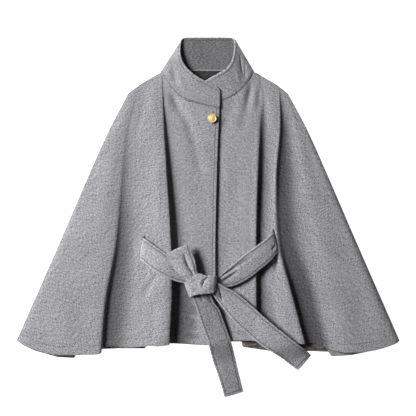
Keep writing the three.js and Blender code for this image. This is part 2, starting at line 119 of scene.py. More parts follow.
arch = smooth_through([[0, 0, 0], [1, 1, 0], [2, 0, 0]], np.array([0.5]))
print("a curve from (0, 0, 0) through (1, 1, 0) to (2, 0, 0) is at", arch[0].round(3), "half way to the top")

# %% [markdown]
# ## From a grid of points to a wall of cloth
# A woollen cloth is about two millimetres thick, and its cut or turned edge is round, not sharp. Blender's
# Solidify could thicken a sheet, but its rim is flat. Here the grid is moved out and in along its own normals,
# and three rings of points make a round rim between the two faces.

# %% Grid measures and the wall
RIM_DEGREES = (50, 0, -50)


def unit(vectors):
    """Vectors of length one along the last axis."""
    return vectors / np.maximum(np.linalg.norm(vectors, axis=-1, keepdims=True), 1e-12)


def grid_normals(grid):
    """The cross product of the steps down and across the grid, which points up out of the cloth."""
    return unit(np.cross(np.gradient(grid, axis=0), np.gradient(grid, axis=1)))


def run_lengths(grid, axis):
    """Length along the grid's lines from their start, in the grid's units."""
    steps = np.linalg.norm(np.diff(grid, axis=axis), axis=-1)
    start = np.zeros_like(np.take(steps, [0], axis=axis))
    return np.concatenate([start, np.cumsum(steps, axis=axis)], axis=axis)


def read_at(values, lengths, at):
    """Values read between the points of a line, at lengths along it."""
    return np.stack([np.interp(at, lengths, values[:, k]) for k in range(3)], axis=1)


def grid_area(grid):
    """Sum of half the cross product of the diagonals of each cell."""
    one = grid[1:, 1:] - grid[:-1, :-1]
    other = grid[1:, :-1] - grid[:-1, 1:]
    return float(np.linalg.norm(np.cross(one, other), axis=-1).sum() / 2)


def edge_ring(rows, columns):
    """Numbers of the grid's edge points, clockwise seen from outside, from the first corner."""
    number = np.arange(rows * columns).reshape(rows, columns)
    return np.concatenate([number[0], number[1:, -1], number[-1, -2::-1], number[-2:0:-1, 0]])


def wall_of(grid, thickness, lowest=None):
    """Moves the grid half the thickness to each side along its normals and joins the two by a half-round rim.
    Nothing goes below the height that lowest(x, y) gives. Returns points, faces and, for every point, the number
    of the grid point it came from."""
    rows, columns = grid.shape[:2]
    normals = grid_normals(grid).reshape(-1, 3)
    middle = grid.reshape(-1, 3)
    ring = edge_ring(rows, columns)
    along = unit(np.roll(middle[ring], -1, axis=0) - np.roll(middle[ring], 1, axis=0))
    outward = unit(np.cross(normals[ring], along))
    half = np.reshape(thickness, (-1, 1)) / 2 * np.ones((len(middle), 1))
    rims = []
    for angle in np.radians(RIM_DEGREES):
        rims.append(middle[ring] + half[ring] * (outward * math.cos(angle) + normals[ring] * math.sin(angle)))
    points = np.concatenate([middle + normals * half, middle - normals * half, *rims])
    if lowest is not None:
        points[:, 2] = np.maximum(points[:, 2], lowest(points[:, 0], points[:, 1]))
    source = np.concatenate([np.arange(len(middle)), np.arange(len(middle)), ring, ring, ring])
    number = np.arange(rows * columns).reshape(rows, columns)
    a, b, c, d = number[:-1, :-1], number[1:, :-1], number[1:, 1:], number[:-1, 1:]
    outer = np.stack([a, b, c, d], axis=-1).reshape(-1, 4)
    inner = np.stack([a, d, c, b], axis=-1).reshape(-1, 4) + rows * columns
    first_rim = 2 * rows * columns
    hoops = [ring, *(first_rim + k * len(ring) + np.arange(len(ring)) for k in range(3)), ring + rows * columns]
    strips = []
    for upper, lower in zip(hoops, hoops[1:]):
        strips.append(np.stack([upper, np.roll(upper, -1), np.roll(lower, -1), lower], axis=-1))
    return points, np.concatenate([outer, inner, *strips]), source


patch = np.stack([*np.meshgrid(np.arange(4.0), np.arange(3.0)), np.zeros((3, 4))], axis=-1)
patch_points, patch_faces, _ = wall_of(patch, 0.5)
print("a grid of 12 points becomes a wall of", len(patch_points), "points and", len(patch_faces), "faces")

# %% [markdown]
# ## Pieces as Blender objects
# Every piece of cloth keeps two kinds of number on its surface. The UV map called cloth gives the place on the
# cloth in metres, across and down, so that a weave has the same size on every piece and turns with it. The
# attributes called edge, hem and seam give the distance in millimetres to the topstitched edge, to the hem and to
# the collar's neck seam. The other three are shares from 0 to 1: bias says how far the cloth hangs on the cross,
# inside marks the under face of a wall, and valley says how deep a point lies in the lee of a fold.

# %% Make an object from points, faces and surface numbers
def make_piece(name, points, faces, material, uv=None, numbers=None):
    """A mesh in metres from points in millimetres, with a UV map read per point and float attributes."""
    mesh = bpy.data.meshes.new(name)
    mesh.from_pydata((points * MM).tolist(), [], faces if isinstance(faces, list) else faces.tolist())
    if uv is not None:
        layer = mesh.uv_layers.new(name="cloth")
        corner_points = np.empty(len(mesh.loops), dtype=np.int64)
        mesh.loops.foreach_get("vertex_index", corner_points)
        layer.data.foreach_set("uv", uv[corner_points].astype(np.float32).ravel())
    for key, values in (numbers or {}).items():
        attribute = mesh.attributes.new(key, "FLOAT", "POINT")
        attribute.data.foreach_set("value", values.astype(np.float32))
    mesh.polygons.foreach_set("use_smooth", np.ones(len(mesh.polygons), dtype=bool))
    mesh.materials.append(material)
    mesh.update()
    piece = bpy.data.objects.new(name, mesh)
    bpy.context.scene.collection.objects.link(piece)
    return piece


def cloth_uv(grid, from_column=0):
    """Place on the cloth in metres: length across from one column, and length down from the top."""
    across = run_lengths(grid, 1)
    across = across - across[:, from_column:from_column + 1 or None]
    return np.stack([across, -run_lengths(grid, 0)], axis=-1).reshape(-1, 2) * MM


def make_cloth(name, grid, thickness, material, uv=None, numbers=None, lowest=None):
    """A wall of cloth as an object, with its UV map and numbers carried from the grid to every point."""
    points, faces, source = wall_of(grid, thickness, lowest)
    uv = cloth_uv(grid) if uv is None else uv
    filled = {key: values.ravel()[source] for key, values in (numbers or {}).items()}
    filled["inside"] = ((np.arange(len(source)) // grid[..., 0].size) == 1).astype(float)
    return make_piece(name, points, faces, material, uv[source], filled)


def declare(piece, grid, node):
    """Attaches the piece to the root, hides the imported solid it stands for, and prints the cloth it is cut from."""
    width = float(run_lengths(grid, 1)[:, -1].max()) * MM
    length = float(run_lengths(grid, 0)[-1].max()) * MM
    area = min(grid_area(grid) * MM * MM, width * length)
    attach(piece, "root")
    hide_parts(node)
    print(f"{piece.name}: cut {width * 1000:.0f} by {length * 1000:.0f} mm, {area * 1e4:.0f} square cm")

# %% [markdown]
# ## Finishes as arithmetic
# A finish in Blender is a graph of nodes. Written out node by node it is hard to read, so one small class wraps
# a socket and lets the graph be written as a sum. Everything that isn't arithmetic comes from one method.

# %% A socket that can be added, subtracted and multiplied
class Signal:
    """A number that comes out of a socket. Arithmetic on it adds Math nodes."""

    def __init__(self, finish, socket):
        self.finish = finish
        self.socket = socket

    def math(self, operation, *others):
        inputs = {k: value for k, value in enumerate((self, *others))}
        return self.finish.node("ShaderNodeMath", {"operation": operation}, inputs, 0)

    def __add__(self, other):
        return self.math("ADD", other)

    def __sub__(self, other):
        return self.math("SUBTRACT", other)

    def __rsub__(self, other):
        return (self * -1.0).math("ADD", other)

    def __mul__(self, other):
        return self.math("MULTIPLY", other)

    __radd__ = __add__
    __rmul__ = __mul__


class Finish:
    """A material under construction."""

    def __init__(self, name):
        self.material = bpy.data.materials.new(name)
        self.material.use_nodes = True
        self.tree = self.material.node_tree
        self.tree.nodes.clear()

    def node(self, kind, settings=None, sockets=None, out=None):
        """Adds a node: its settings first, then the values or links of its sockets. Gives one output."""
        made = self.tree.nodes.new(kind)
        for key, value in (settings or {}).items():
            setattr(made, key, value)
        for key, value in (sockets or {}).items():
            socket = made.inputs[key]
            if isinstance(value, Signal):
                self.tree.links.new(value.socket, socket)
            else:
                socket.default_value = value
        return made if out is None else Signal(self, made.outputs[out])

    def mix(self, factor, one, other):
        """A colour between two colours."""
        settings = {"data_type": "RGBA", "clamp_factor": True}
        return self.node("ShaderNodeMix", settings, {0: factor, 6: one, 7: other}, 2)

    def number(self, name):
        """A number that the surface carries, by the name of its attribute."""
        return self.node("ShaderNodeAttribute", {"attribute_name": name}, {}, "Fac")

    def bump(self, height, strength, distance):
        """Small relief: the slope of a height tilts the shading. The distance is in metres."""
        return self.node("ShaderNodeBump", {}, {"Height": height, "Strength": strength, "Distance": distance}, 0)

    def close(self, **sockets):
        """Ends the graph in one shader with these sockets."""
        shader = self.node("ShaderNodeBsdfPrincipled", {}, {k.replace("_", " "): v for k, v in sockets.items()})
        output = self.tree.nodes.new("ShaderNodeOutputMaterial")
        self.tree.links.new(shader.outputs[0], output.inputs[0])
        return self.material


def grey(level):
    """A neutral colour, a touch cool, as linear red, green, blue and alpha."""
    return (level * 0.985, level * 0.98, level * 1.03, 1)


print("a grey of level 0.3 is", [round(part, 3) for part in grey(0.3)])

# %% [markdown]
# ## Grey wool
# The cloth is a melange: light and dark fibres are mixed before spinning, so each yarn differs a little from the
# next. Seen from a step away this reads as short streaks along the yarns, crossing at right angles, with a fine
# twill under them. On the fronts' outer drapes the cloth hangs on the cross, so the streaks run diagonally there.
# The streaks are noise stretched along one direction of the cloth map, once for each set of yarns.
#
# Several things are painted besides. The cloth right of each fold is shaded more widely than one lamp does it, so
# the number called valley paints shade there. Each stretch of belt has its own share of the wool's level: painted
# light and shade, lighter or darker by how the light falls on that stretch. The collar's inner face gets painted
# shade, with a pale line where its seam is taped. The dents of the stitching and the seam get painted shade, and
# the edge outside the stitching a painted highlight.

# %% The wool finish
TOPSTITCH_MM = 6.0
HEM_STITCH_MM = 20.0
NECK_SEAM_MM = 1.6
TAPE_MM = 1.2
TAPE_COVER, TAPE_LEVEL = 2.0, 1.3
# the painted highlight along an edge lies this far in from it, in millimetres
EDGE_HIGHLIGHT_MM = 0.8
DENT_MM = 1.1
WOOL_LEVEL = 0.312
DARK_FIBRES, LIGHT_FIBRES = 0.45, 1.55
BIAS_TURN = math.radians(42)
STRAIGHT_YARNS = [
    # streak's size across and down the cloth in millimetres, its share
    (5.6, 1.2, 1.5),
    (1.3, 3.6, 0.5),
]
CROSS_YARNS = [
    (6.0, 1.2, 1.7),
    (1.2, 2.6, 0.3),
]
FIBRES, SLUBS, CLOUDS = (0.9, 0.9, 0.4), (45, 2.6, 0.0), (60, 90, 0.2)
STREAK_SHADE, FIBRE_SHADE, SLUB_SHADE, CLOUD_SHADE = 1.9, 1.4, 0.4, 0.3
STREAK_RELIEF, FIBRE_RELIEF, DENT_RELIEF = 0.5, 0.6, 1.8


def groove(finish, attribute, distance_mm):
    """A soft dent at one distance from an edge: a bell curve of the distance, zero away from it."""
    offset = (finish.number(attribute) - distance_mm) * (1 / DENT_MM)
    return (offset * offset * -1.0).math("EXPONENT")


def yarns(finish, across, down, turn):
    """Noise from 0 to 1 in spots of one size in millimetres, from the cloth map turned by an angle."""
    cloth = finish.node("ShaderNodeUVMap", {"uv_map": "cloth"}, {}, 0)
    turned = finish.node("ShaderNodeMapping", {}, {"Vector": cloth, "Rotation": (0, 0, turn)}, 0)
    scaled = finish.node("ShaderNodeMapping", {}, {"Vector": turned, "Scale": (1000 / across, 1000 / down, 1)}, 0)
    return finish.node("ShaderNodeTexNoise", {"noise_dimensions": "2D"},
                       {"Vector": scaled, "Scale": 1.0, "Detail": 1.0, "Roughness": 0.5}, 0)


def streaks_along(finish, table, turn):
    """Sum of the noise of each set of yarns times its share."""
    return sum(yarns(finish, across, down, turn) * share for across, down, share in table)


def wool_finish(name, share=1.0, grooves=(), painted_groove_shade=0.42, highlight_strength=0.28, inside_painted_shade=0.0):
    """Melange wool. The shade is a half, plus streaks, single fibres, long slubs and slow clouds, each times its
    strength, less painted shade in the dents of the stitching, plus a painted highlight on the edge outside them.
    The colour runs from dark to light fibres by that shade, then towards black by painted shade: by the number
    inside on the inner face of a wall, and by the number valley in the lee of folds. Where the inner face gets
    painted shade, its seam is taped: a pale bell curve of the distance to the seam."""
    finish = Finish(name)
    level = WOOL_LEVEL * share
    straight = streaks_along(finish, STRAIGHT_YARNS, 0.0)
    diagonal = streaks_along(finish, CROSS_YARNS, BIAS_TURN)
    streaks = straight + (diagonal - straight) * finish.number("bias") - 1.0
    fibres, slubs, clouds = (yarns(finish, *size_and_turn) - 0.5 for size_and_turn in (FIBRES, SLUBS, CLOUDS))
    dent = pale_edge_highlight = 0.0
    # the dents of the stitching and the seam tilt the relief, and in the colour they carry painted shade
    for attribute, distance_mm, depth in grooves:
        dent = dent + groove(finish, attribute, distance_mm) * depth
        # a painted highlight along the edge, outside the stitching
        if attribute == "edge":
            pale_edge_highlight = pale_edge_highlight + groove(finish, attribute, EDGE_HIGHLIGHT_MM) * depth
    # the fibres' tone, less painted shade in the dents, plus the painted highlight on the edge
    shade = (0.5 + streaks * STREAK_SHADE + fibres * FIBRE_SHADE + slubs * SLUB_SHADE + clouds * CLOUD_SHADE
             - dent * painted_groove_shade + pale_edge_highlight * highlight_strength)
    colour = finish.mix(shade, grey(level * DARK_FIBRES), grey(level * LIGHT_FIBRES))
    # painted shade on the inner face of a wall; only the collar has it
    inner = finish.number("inside") * inside_painted_shade
    colour = finish.mix(inner, colour, grey(0.0))
    colour = finish.mix(finish.number("valley"), colour, grey(0.0))
    if inside_painted_shade:
        colour = finish.mix(inner * groove(finish, "seam", TAPE_MM) * TAPE_COVER, colour, grey(level * TAPE_LEVEL))
    relief = streaks * STREAK_RELIEF + fibres * FIBRE_RELIEF - dent * DENT_RELIEF
    return finish.close(Base_Color=colour, Roughness=0.86 + fibres * 0.1, Normal=finish.bump(relief, 0.5, 0.0006),
                        Specular_IOR_Level=0.2, Sheen_Weight=0.08, Sheen_Roughness=0.45, Sheen_Tint=(1, 1, 1, 1))


STITCHED_EDGE = ("edge", TOPSTITCH_MM, 1.0)
# painted light and shade: each stretch of belt is lighter or darker by how the light falls on it
BELT_LIT_AND_SHADED_LEVELS = {"belt_back": 1.0, "belt_left": 1.18, "belt_right": 0.98, "belt_loop": 1.18,
               "belt_tail_down": 0.86, "belt_tail_side": 1.1, "belt_knot": 1.12}

wool = wool_finish("grey_wool")
wool_hemmed = wool_finish("grey_wool_hemmed", grooves=[STITCHED_EDGE, ("hem", HEM_STITCH_MM, 0.5)])
# the collar's inner face is darkened as painted shade
wool_collar = wool_finish("grey_wool_collar", grooves=[STITCHED_EDGE, ("seam", NECK_SEAM_MM, 1.9)],
                          highlight_strength=0.26, inside_painted_shade=0.48)
# each stretch's wool: its level of painted light and shade, stronger painted groove shade and edge highlight
belt_wools = {node: wool_finish("grey_wool_" + node, share, [STITCHED_EDGE], painted_groove_shade=0.75, highlight_strength=0.42)
              for node, share in BELT_LIT_AND_SHADED_LEVELS.items()}
print("wool finishes:", wool.name, wool_hemmed.name, wool_collar.name, *belt_wools)

# %% [markdown]
# ## Lining, thread and metal
# The inside of the back hem is lined with a brown-grey satin with a slight shine, and the neck is faced with the
# same cloth, made darker as painted shade for the shadow inside the neck. The thread is darker than the wool, a
# painted shade for the groove it lies in, so that the stitching reads. The button is a polished gold-coloured
# metal. Full metal would mirror the dark room round it, so it is only partly metallic.

# %% The other finishes
def lining_finish(name, dark, light):
    """Satin: a fine rib and slow patches of noise choose between a dark and a light colour."""
    finish = Finish(name)
    rib = yarns(finish, 0.7, 5, 0.0) - 0.5
    patch = yarns(finish, 9, 16, 0.5) - 0.5
    colour = finish.mix(0.5 + rib * 0.8 + patch * 0.7, dark, light)
    return finish.close(Base_Color=colour, Roughness=0.42 + patch * 0.15, Normal=finish.bump(rib, 0.3, 0.0003),
                        Sheen_Weight=0.15)


def groove_shaded_thread_finish():
    """Thread: fine noise, from the object's own coordinates, chooses between two dark greys, dark as painted shade
    for the groove that the thread lies in.
    """
    finish = Finish("grey_thread_groove_shade")
    place = finish.node("ShaderNodeTexCoord", {}, {}, "Object")
    ply = finish.node("ShaderNodeTexNoise", {}, {"Vector": place, "Scale": 900.0, "Detail": 1.0}, 0)
    return finish.close(Base_Color=finish.mix(ply, grey(0.09), grey(0.22)), Roughness=0.75)


def gold_finish():
    """Polished metal: one fine noise chooses between two yellows and adds to the roughness, as rubbing marks do."""
    finish = Finish("gold_metal")
    place = finish.node("ShaderNodeTexCoord", {}, {}, "Object")
    marks = finish.node("ShaderNodeTexNoise", {}, {"Vector": place, "Scale": 700.0, "Detail": 3.0}, 0)
    colour = finish.mix(marks, (1.0, 0.66, 0.2, 1), (1.0, 0.88, 0.45, 1))
    return finish.close(Base_Color=colour, Metallic=0.3, Roughness=0.22 + marks * 0.2)


lining = lining_finish("brown_lining", (0.045, 0.037, 0.033, 1), (0.17, 0.145, 0.13, 1))
# the neck facing is the lining made darker, as painted shade for the shadow inside the neck
neck_lining_painted_shade = lining_finish("neck_facing_painted_shade", (0.012, 0.012, 0.012, 1), (0.05, 0.049, 0.047, 1))
thread = groove_shaded_thread_finish()
gold = gold_finish()
print("other finishes:", lining.name, neck_lining_painted_shade.name, thread.name, gold.name)

# %% [markdown]
# ## What lies inside
# The fronts rest on the back panel, on the facings, and on the run of belt that crosses the back between the two
# slits. Each of these lifts the cloth above it by its own thickness, so the fronts are never lower than this.

# %% Heights inside the coat
CLOTH = 2.0
BELT_CLOTH = 3.2
FACING_CLOTH = 1.0
GAP = 0.3
BELT_TILT = 0.06
BELT_MIDDLE_Y = -66.5
BELT_BAND = 46
BELT_SPARE = 2
BELT_EASE = 22
BELT_ENDS = (172, 200)
FACING_EASE = 14

NECK_FACING_BOX = (-88, 88, 298, 352)
HEM_LINING_LEFT_BOX = (-389, -150, -334.4, -300)
HEM_LINING_RIGHT_BOX = (84.5, 292, -320.5, -288)


def outside_box(box, x, y):
    """Distance from a point to a box, nothing inside it."""
    over_x = np.maximum(np.maximum(box[0] - x, x - box[1]), 0)
    over_y = np.maximum(np.maximum(box[2] - y, y - box[3]), 0)
    return np.hypot(over_x, over_y)


def inside_height(x, y):
    """Height of the back panel's top, raised over the facings and over the belt's run across the back."""
    from_belt = np.abs(y - BELT_MIDDLE_Y - BELT_TILT * x) - BELT_BAND / 2 - BELT_SPARE
    between_slits = 1 - smoothstep(np.abs(x), *BELT_ENDS)
    belt_rise = (1 - smoothstep(from_belt, 0, BELT_EASE)) * between_slits * (BELT_CLOTH + GAP)
    boxes = (NECK_FACING_BOX, HEM_LINING_LEFT_BOX, HEM_LINING_RIGHT_BOX)
    from_facing = np.minimum.reduce([outside_box(box, x, y) for box in boxes])
    facing_rise = (1 - smoothstep(from_facing, 0, FACING_EASE)) * (FACING_CLOTH + GAP)
    return CLOTH + GAP + np.maximum(belt_rise, facing_rise)


print("the fronts lie", CLOTH + GAP, "mm up, and", CLOTH + GAP + BELT_CLOTH + GAP, "mm over the belt inside")

# %% [markdown]
# ## The fronts
# Each front is one piece of cloth that falls from the neck and shoulder to the hem in long folds. A maker sees
# it as lines that run down the cloth: the side seam, the crown of the side drape, the edge of a fold, the cloth
# tucked under it, the valley beside it, and so on to the front edge. Each row below is one such line, with the Y
# where it starts and ends, and its X and height at six stations on the way down. Where a fold laps over its
# neighbour, the line of its edge lies further across than the line beneath it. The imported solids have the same
# folds, drawn a little more simply. Here some lines were moved by a few millimetres to throw the photo's shadows.

# %% Lines of the two fronts, in millimetres
STATIONS = np.array([0, 0.15, 0.35, 0.6, 0.8, 1])

RIGHT_FRONT = [
    # line, steps to the next, top, hem, X at the stations, height at the stations
    ("side seam", 2, 297, -296, [-192, -239, -292, -356, -408, -460], [3.3, 3.3, 3.3, 3.3, 3.3, 3.3]),
    ("side rise", 3, 299, -301, [-190.5, -236.5, -288, -350, -401.5, -451], [3.4, 4.8, 5.6, 5.8, 5.8, 5.4]),
    ("side drape", 4, 304, -327, [-184, -225, -261, -307, -345, -379], [3.6, 7.4, 10.8, 13, 13.4, 12.4]),
    ("side crown", 1, 308.5, -327.5, [-178, -213, -238, -262, -282, -290], [3.8, 9, 13.8, 17.6, 19, 18.6]),
    ("fold B shoulder", 1, 312, -327, [-173, -204, -221, -238, -260, -270], [3.9, 9.1, 13.8, 17.8, 19.4, 19]),
    ("fold B edge", 1, 316, -324, [-168, -195, -209, -223, -245, -257], [4, 8.6, 12.8, 16.8, 18.4, 18]),
    ("fold B under", 1, 317.3, -316, [-166, -191, -202, -216, -241, -256], [4, 7.8, 10.6, 12, 11.6, 11]),
    ("fold B valley", 2, 320, -310, [-162, -186, -193, -204, -222, -237], [4, 7.2, 8.6, 8.8, 8.2, 7.8]),
    ("roll foot", 2, 323.3, -312, [-157, -176, -175, -175, -186, -200], [4.1, 7.4, 8.4, 7.2, 6.2, 5.8]),
    ("roll flank", 3, 328.3, -310, [-149, -161, -152, -149, -154, -164], [4.3, 8.8, 11.8, 12.4, 11.2, 10.4]),
    ("roll top", 3, 335, -307, [-137, -141, -134, -133, -137, -142], [4.7, 10.4, 15.2, 17, 16.2, 15.2]),
    ("roll crest", 3, 343, -307, [-122, -124, -116, -110, -109, -114], [5, 11.8, 17.8, 22, 22.6, 21.4]),
    ("fold A edge", 2, 348.6, -303, [-112, -107.5, -100, -89.5, -86.5, -93], [5.4, 10.4, 17.4, 23.4, 24.8, 23.6]),
    ("fold A under", 2, 346, -302, [-110, -107, -103, -96, -96, -104], [5.4, 7.8, 9.6, 10.4, 10.2, 9.8]),
    ("fold A valley", 2, 340, -302, [-106.5, -102, -95, -83, -80, -86], [5.6, 6.4, 6.4, 7, 5.8, 5.4]),
    ("drag line", 2, 313, -303, [-91, -84, -76, -60, -56, -61], [7.5, 6.6, 6, 6.9, 5.6, 5.2]),
    ("panel", 3, 283, -305, [-57, -56, -47, -35, -30, -30], [10.4, 8.8, 7.6, 8, 7, 6.4]),
    ("placket fold", 2, 268.5, -306, [-11, -11, -10, -9, -7, -5], [13.2, 11, 10.4, 11.4, 10.6, 9]),
    ("front edge", 0, 262, -306, [27, 23, 19.5, 17, 17.5, 19], [14, 12.2, 12, 13.4, 12.6, 10.2]),
]

LEFT_FRONT = [
    ("front edge", 2, 271, -295, [-7, -7, -7, -7, -7, -7], [9, 5.4, 4.4, 6.9, 4.4, 4.4]),
    ("under lap", 2, 276.5, -295, [23, 20, 18, 16, 16, 20], [10.2, 6.2, 4.7, 6.9, 4.7, 4.6]),
    ("panel", 3, 282, -295, [44, 44, 44, 44, 44, 49], [10.6, 8, 6.8, 8, 6.8, 6]),
    ("panel rise", 2, 294.5, -295, [69, 71, 73, 76, 76, 76], [10.4, 10, 10, 11, 10.4, 9]),
    ("panel flank", 2, 317.5, -295, [91, 91, 90, 88, 87, 87], [9.4, 11, 11.8, 12.7, 12, 10.6]),
    ("panel crest", 2, 348, -295, [107, 112, 106, 99, 98, 98], [6.8, 10.4, 13.4, 14.4, 13.8, 12.2]),
    ("panel edge", 2, 340.5, -295, [122, 125, 120, 115.5, 115.5, 117], [5.8, 9.8, 14.6, 16.4, 15.8, 13.6]),
    ("strip under", 1, 339.5, -295, [127, 130, 120.6, 112.6, 111.6, 113.6], [5, 7.8, 7.6, 7.4, 6.2, 5.8]),
    ("gap", 1, 338, -295, [131, 135.4, 126.6, 121, 121, 122], [5, 5.9, 5, 6.8, 4.6, 4.6]),
    ("strip foot", 2, 336, -295, [136, 141, 134.4, 128.5, 128.5, 130], [5, 6, 5.4, 7.2, 5.2, 5.2]),
    ("strip edge", 1, 332.5, -295.5, [140, 143, 139, 134, 134.5, 137], [5, 6.6, 7, 8.2, 6.6, 6.4]),
    ("strip turn", 2, 331, -295.7, [144, 148, 143.6, 138.6, 140, 143], [5, 7.8, 8.2, 9.2, 7.6, 7.2]),
    ("strip crest", 3, 324.5, -297, [154, 158, 150, 146, 155, 168], [4.8, 9.4, 9.6, 10.8, 10.4, 10]),
    ("strip flank", 2, 316, -301, [166, 167, 157, 157, 180, 208], [4.6, 10, 11.6, 13, 15, 14.8]),
    ("fold C edge", 2, 313, -302, [171, 173, 163, 167, 199.5, 232.5], [4.5, 10.6, 14, 15.6, 18.4, 18.4]),
    ("fold C under", 2, 311.5, -301, [173, 176, 170, 179, 199.5, 229.5], [4.4, 6.4, 8, 9.4, 10, 9.6]),
    ("fold C valley", 2, 309.5, -301, [176, 183, 184, 198, 218, 249], [4.3, 4.3, 5, 5.6, 6, 5.8]),
    ("side foot", 2, 307.5, -312, [179, 195, 204, 220, 247, 277], [4.1, 4.6, 4.4, 4.7, 4.3, 4.3]),
    ("side flank", 3, 305.3, -320, [182, 205, 221, 245, 273, 304], [3.9, 6, 6.2, 6.4, 6, 6]),
    ("side crown", 3, 303, -324, [185, 217, 242, 278, 312, 340], [3.8, 7, 9.4, 11, 11, 10.6]),
    ("side drape", 3, 300.5, -318, [188, 226, 266, 328, 366, 402], [3.6, 6.2, 8.6, 10.2, 10.2, 9.4]),
    ("side rise", 2, 298.8, -301, [190.5, 236.5, 288.5, 352, 404, 454], [3.5, 5.2, 6.8, 8, 7.8, 7]),
    ("side seam", 0, 297, -296, [192, 239, 292, 356, 408, 460], [3.3, 3.3, 3.3, 3.3, 3.3, 3.3]),
]
print(len(RIGHT_FRONT), "lines on the right front and", len(LEFT_FRONT), "on the left")

# %% [markdown]
# ## Creases
# Besides the long folds, cloth that hangs from a seam or is held by a belt shows short soft drag lines. Each is
# laid from one point to another, with its own width, and its depth is below the surface where it is
# negative. It fades in and out along its length, so no two ends stop short.

# %% Soft creases, given one by one
RIGHT_CREASES = [
    # from x, from y, to x, to y, half width, depth
    (-88, 300, -64, 246, 9, -5.0),
    (-62, 262, -27, 168, 11, -4.0),
    (-34, 182, -12, 92, 12, -1.8),
    (-104, 312, -94, 250, 6, 1.6),
    (-128, 330, -136, 240, 11, 1.2),
    (-150, 300, -172, 190, 9, -1.4),
    (-212, 250, -268, 60, 22, 1.2),
    (-250, 190, -330, -20, 26, -1.4),
    (-300, 40, -396, -250, 34, 1.3),
    (-262, -60, -306, -300, 26, -1.4),
    (-152, 60, -160, -30, 11, -1.2),
    (-120, 140, -118, -30, 11, 1.0),
    (-162, -106, -170, -280, 12, 0.5),
    (-118, -134, -158, -190, 7, -2.6),
    (-98, -150, -150, -218, 9, 0.9),
    (-128, -190, -134, -300, 13, -1.6),
    (-152, -46.5, -99, -82, 2.6, -4.6),
    (-162, -54, -170, -98, 8, 1.0),
    (-36, 210, -10, 60, 16, -0.8),
    (-46, 40, -20, -110, 16, 1.0),
    (-60, -190, -40, -296, 13, -1.2),
    (-12, 246, 12, 190, 7, 0.8),
    (-60, 110, -10, 104, 6, 0.5),
    (-56, 20, -4, 12, 7, -0.5),
]

LEFT_CREASES = [
    (104, 322, 92, 256, 8, -4.0),
    (94, 266, 80, 206, 12, -2.4),
    (124, 316, 120, 250, 7, -2.2),
    (163, -90, 164, -130, 6, -4.4),
    (144, -112, 150, -166, 9, 1.6),
    (186, 300, 186, 210, 6, -1.2),
    (60, 280, 36, 200, 14, -1.6),
    (40, 180, 48, 20, 18, 1.0),
    (78, 150, 70, -20, 16, -0.8),
    (40, -60, 44, -200, 15, -1.0),
    (86, -160, 90, -285, 12, 1.0),
    (176, -150, 196, -280, 12, 1.4),
    (156, -190, 168, -290, 9, -1.6),
    (214, 230, 272, 60, 14, -0.9),
    (300, -20, 372, -260, 30, -1.0),
    (376, -150, 420, -290, 22, 1.2),
    (236, -240, 232, -292, 7, 0.9),
]
CREASE_SPAN = 0.86


def crease_height(creases, x, y):
    """Sum over the creases: a bell curve of the distance to the crease's line, faded at both ends by a sine that
    runs over each end by a twelfth of the length."""
    total = np.zeros_like(x)
    for x0, y0, x1, y1, half_width, depth in creases:
        dx, dy = x1 - x0, y1 - y0
        along = ((x - x0) * dx + (y - y0) * dy) / (dx * dx + dy * dy)
        inside = np.clip(along, 0, 1)
        away = np.hypot(x - x0 - inside * dx, y - y0 - inside * dy)
        fade = np.sin(np.pi * np.clip(along * CREASE_SPAN + (1 - CREASE_SPAN) / 2, 0, 1))
        total += depth * fade * np.exp(-(away / half_width) ** 2)
    return total


print(len(RIGHT_CREASES), "creases on the right front and", len(LEFT_CREASES), "on the left")

# %% [markdown]
# ## From lines to a front
# The lines are first made smooth down the cloth, then every section is made smooth across the lines. The result
# is a fine grid, moved by the creases, and thickened to two millimetres.

# %% The grid of a front
FINE_ACROSS = 4
FINE_DOWN = 26
CREASE_HEIGHTS = (3.4, 8)


def front_grid(lines, creases):
    """Smooth down each line through its stations, then smooth across the lines at every level down. Creases fade
    out where the cloth lies low, and nothing is lower than what lies inside the coat."""
    rails = np.array([[[x, top + (hem - top) * s, z] for x, z, s in zip(xs, zs, STATIONS)]
                      for _, _, top, hem, xs, zs in lines])
    levels = np.linspace(0, len(STATIONS) - 1, FINE_DOWN * (len(STATIONS) - 1) + 1)
    down = smooth_through(rails.transpose(1, 0, 2), levels)
    places = places_along([line[1] * FINE_ACROSS for line in lines[:-1]])
    grid = smooth_through(down.transpose(1, 0, 2), places).transpose(1, 0, 2)
    x, y = grid[..., 0], grid[..., 1]
    grid[..., 2] += crease_height(creases, x, y) * smoothstep(grid[..., 2], *CREASE_HEIGHTS)
    grid[..., 2] = np.maximum(grid[..., 2], inside_height(x, y) + CLOTH / 2)
    return grid


right_grid = front_grid(RIGHT_FRONT, RIGHT_CREASES)
left_grid = front_grid(LEFT_FRONT, LEFT_CREASES)
print("front grids:", right_grid.shape[:2], left_grid.shape[:2])

# %% [markdown]
# ## The belt's stretches
# The belt is a flat tube of the same wool, about 46 mm wide and 3 mm thick, topstitched along both edges. From
# the knot a stretch runs to each slit, one loop stands up as a half bow, and two ends hang free over the hem.
# Each row below is a line across the belt: the point and height of its upper edge and of its lower edge.

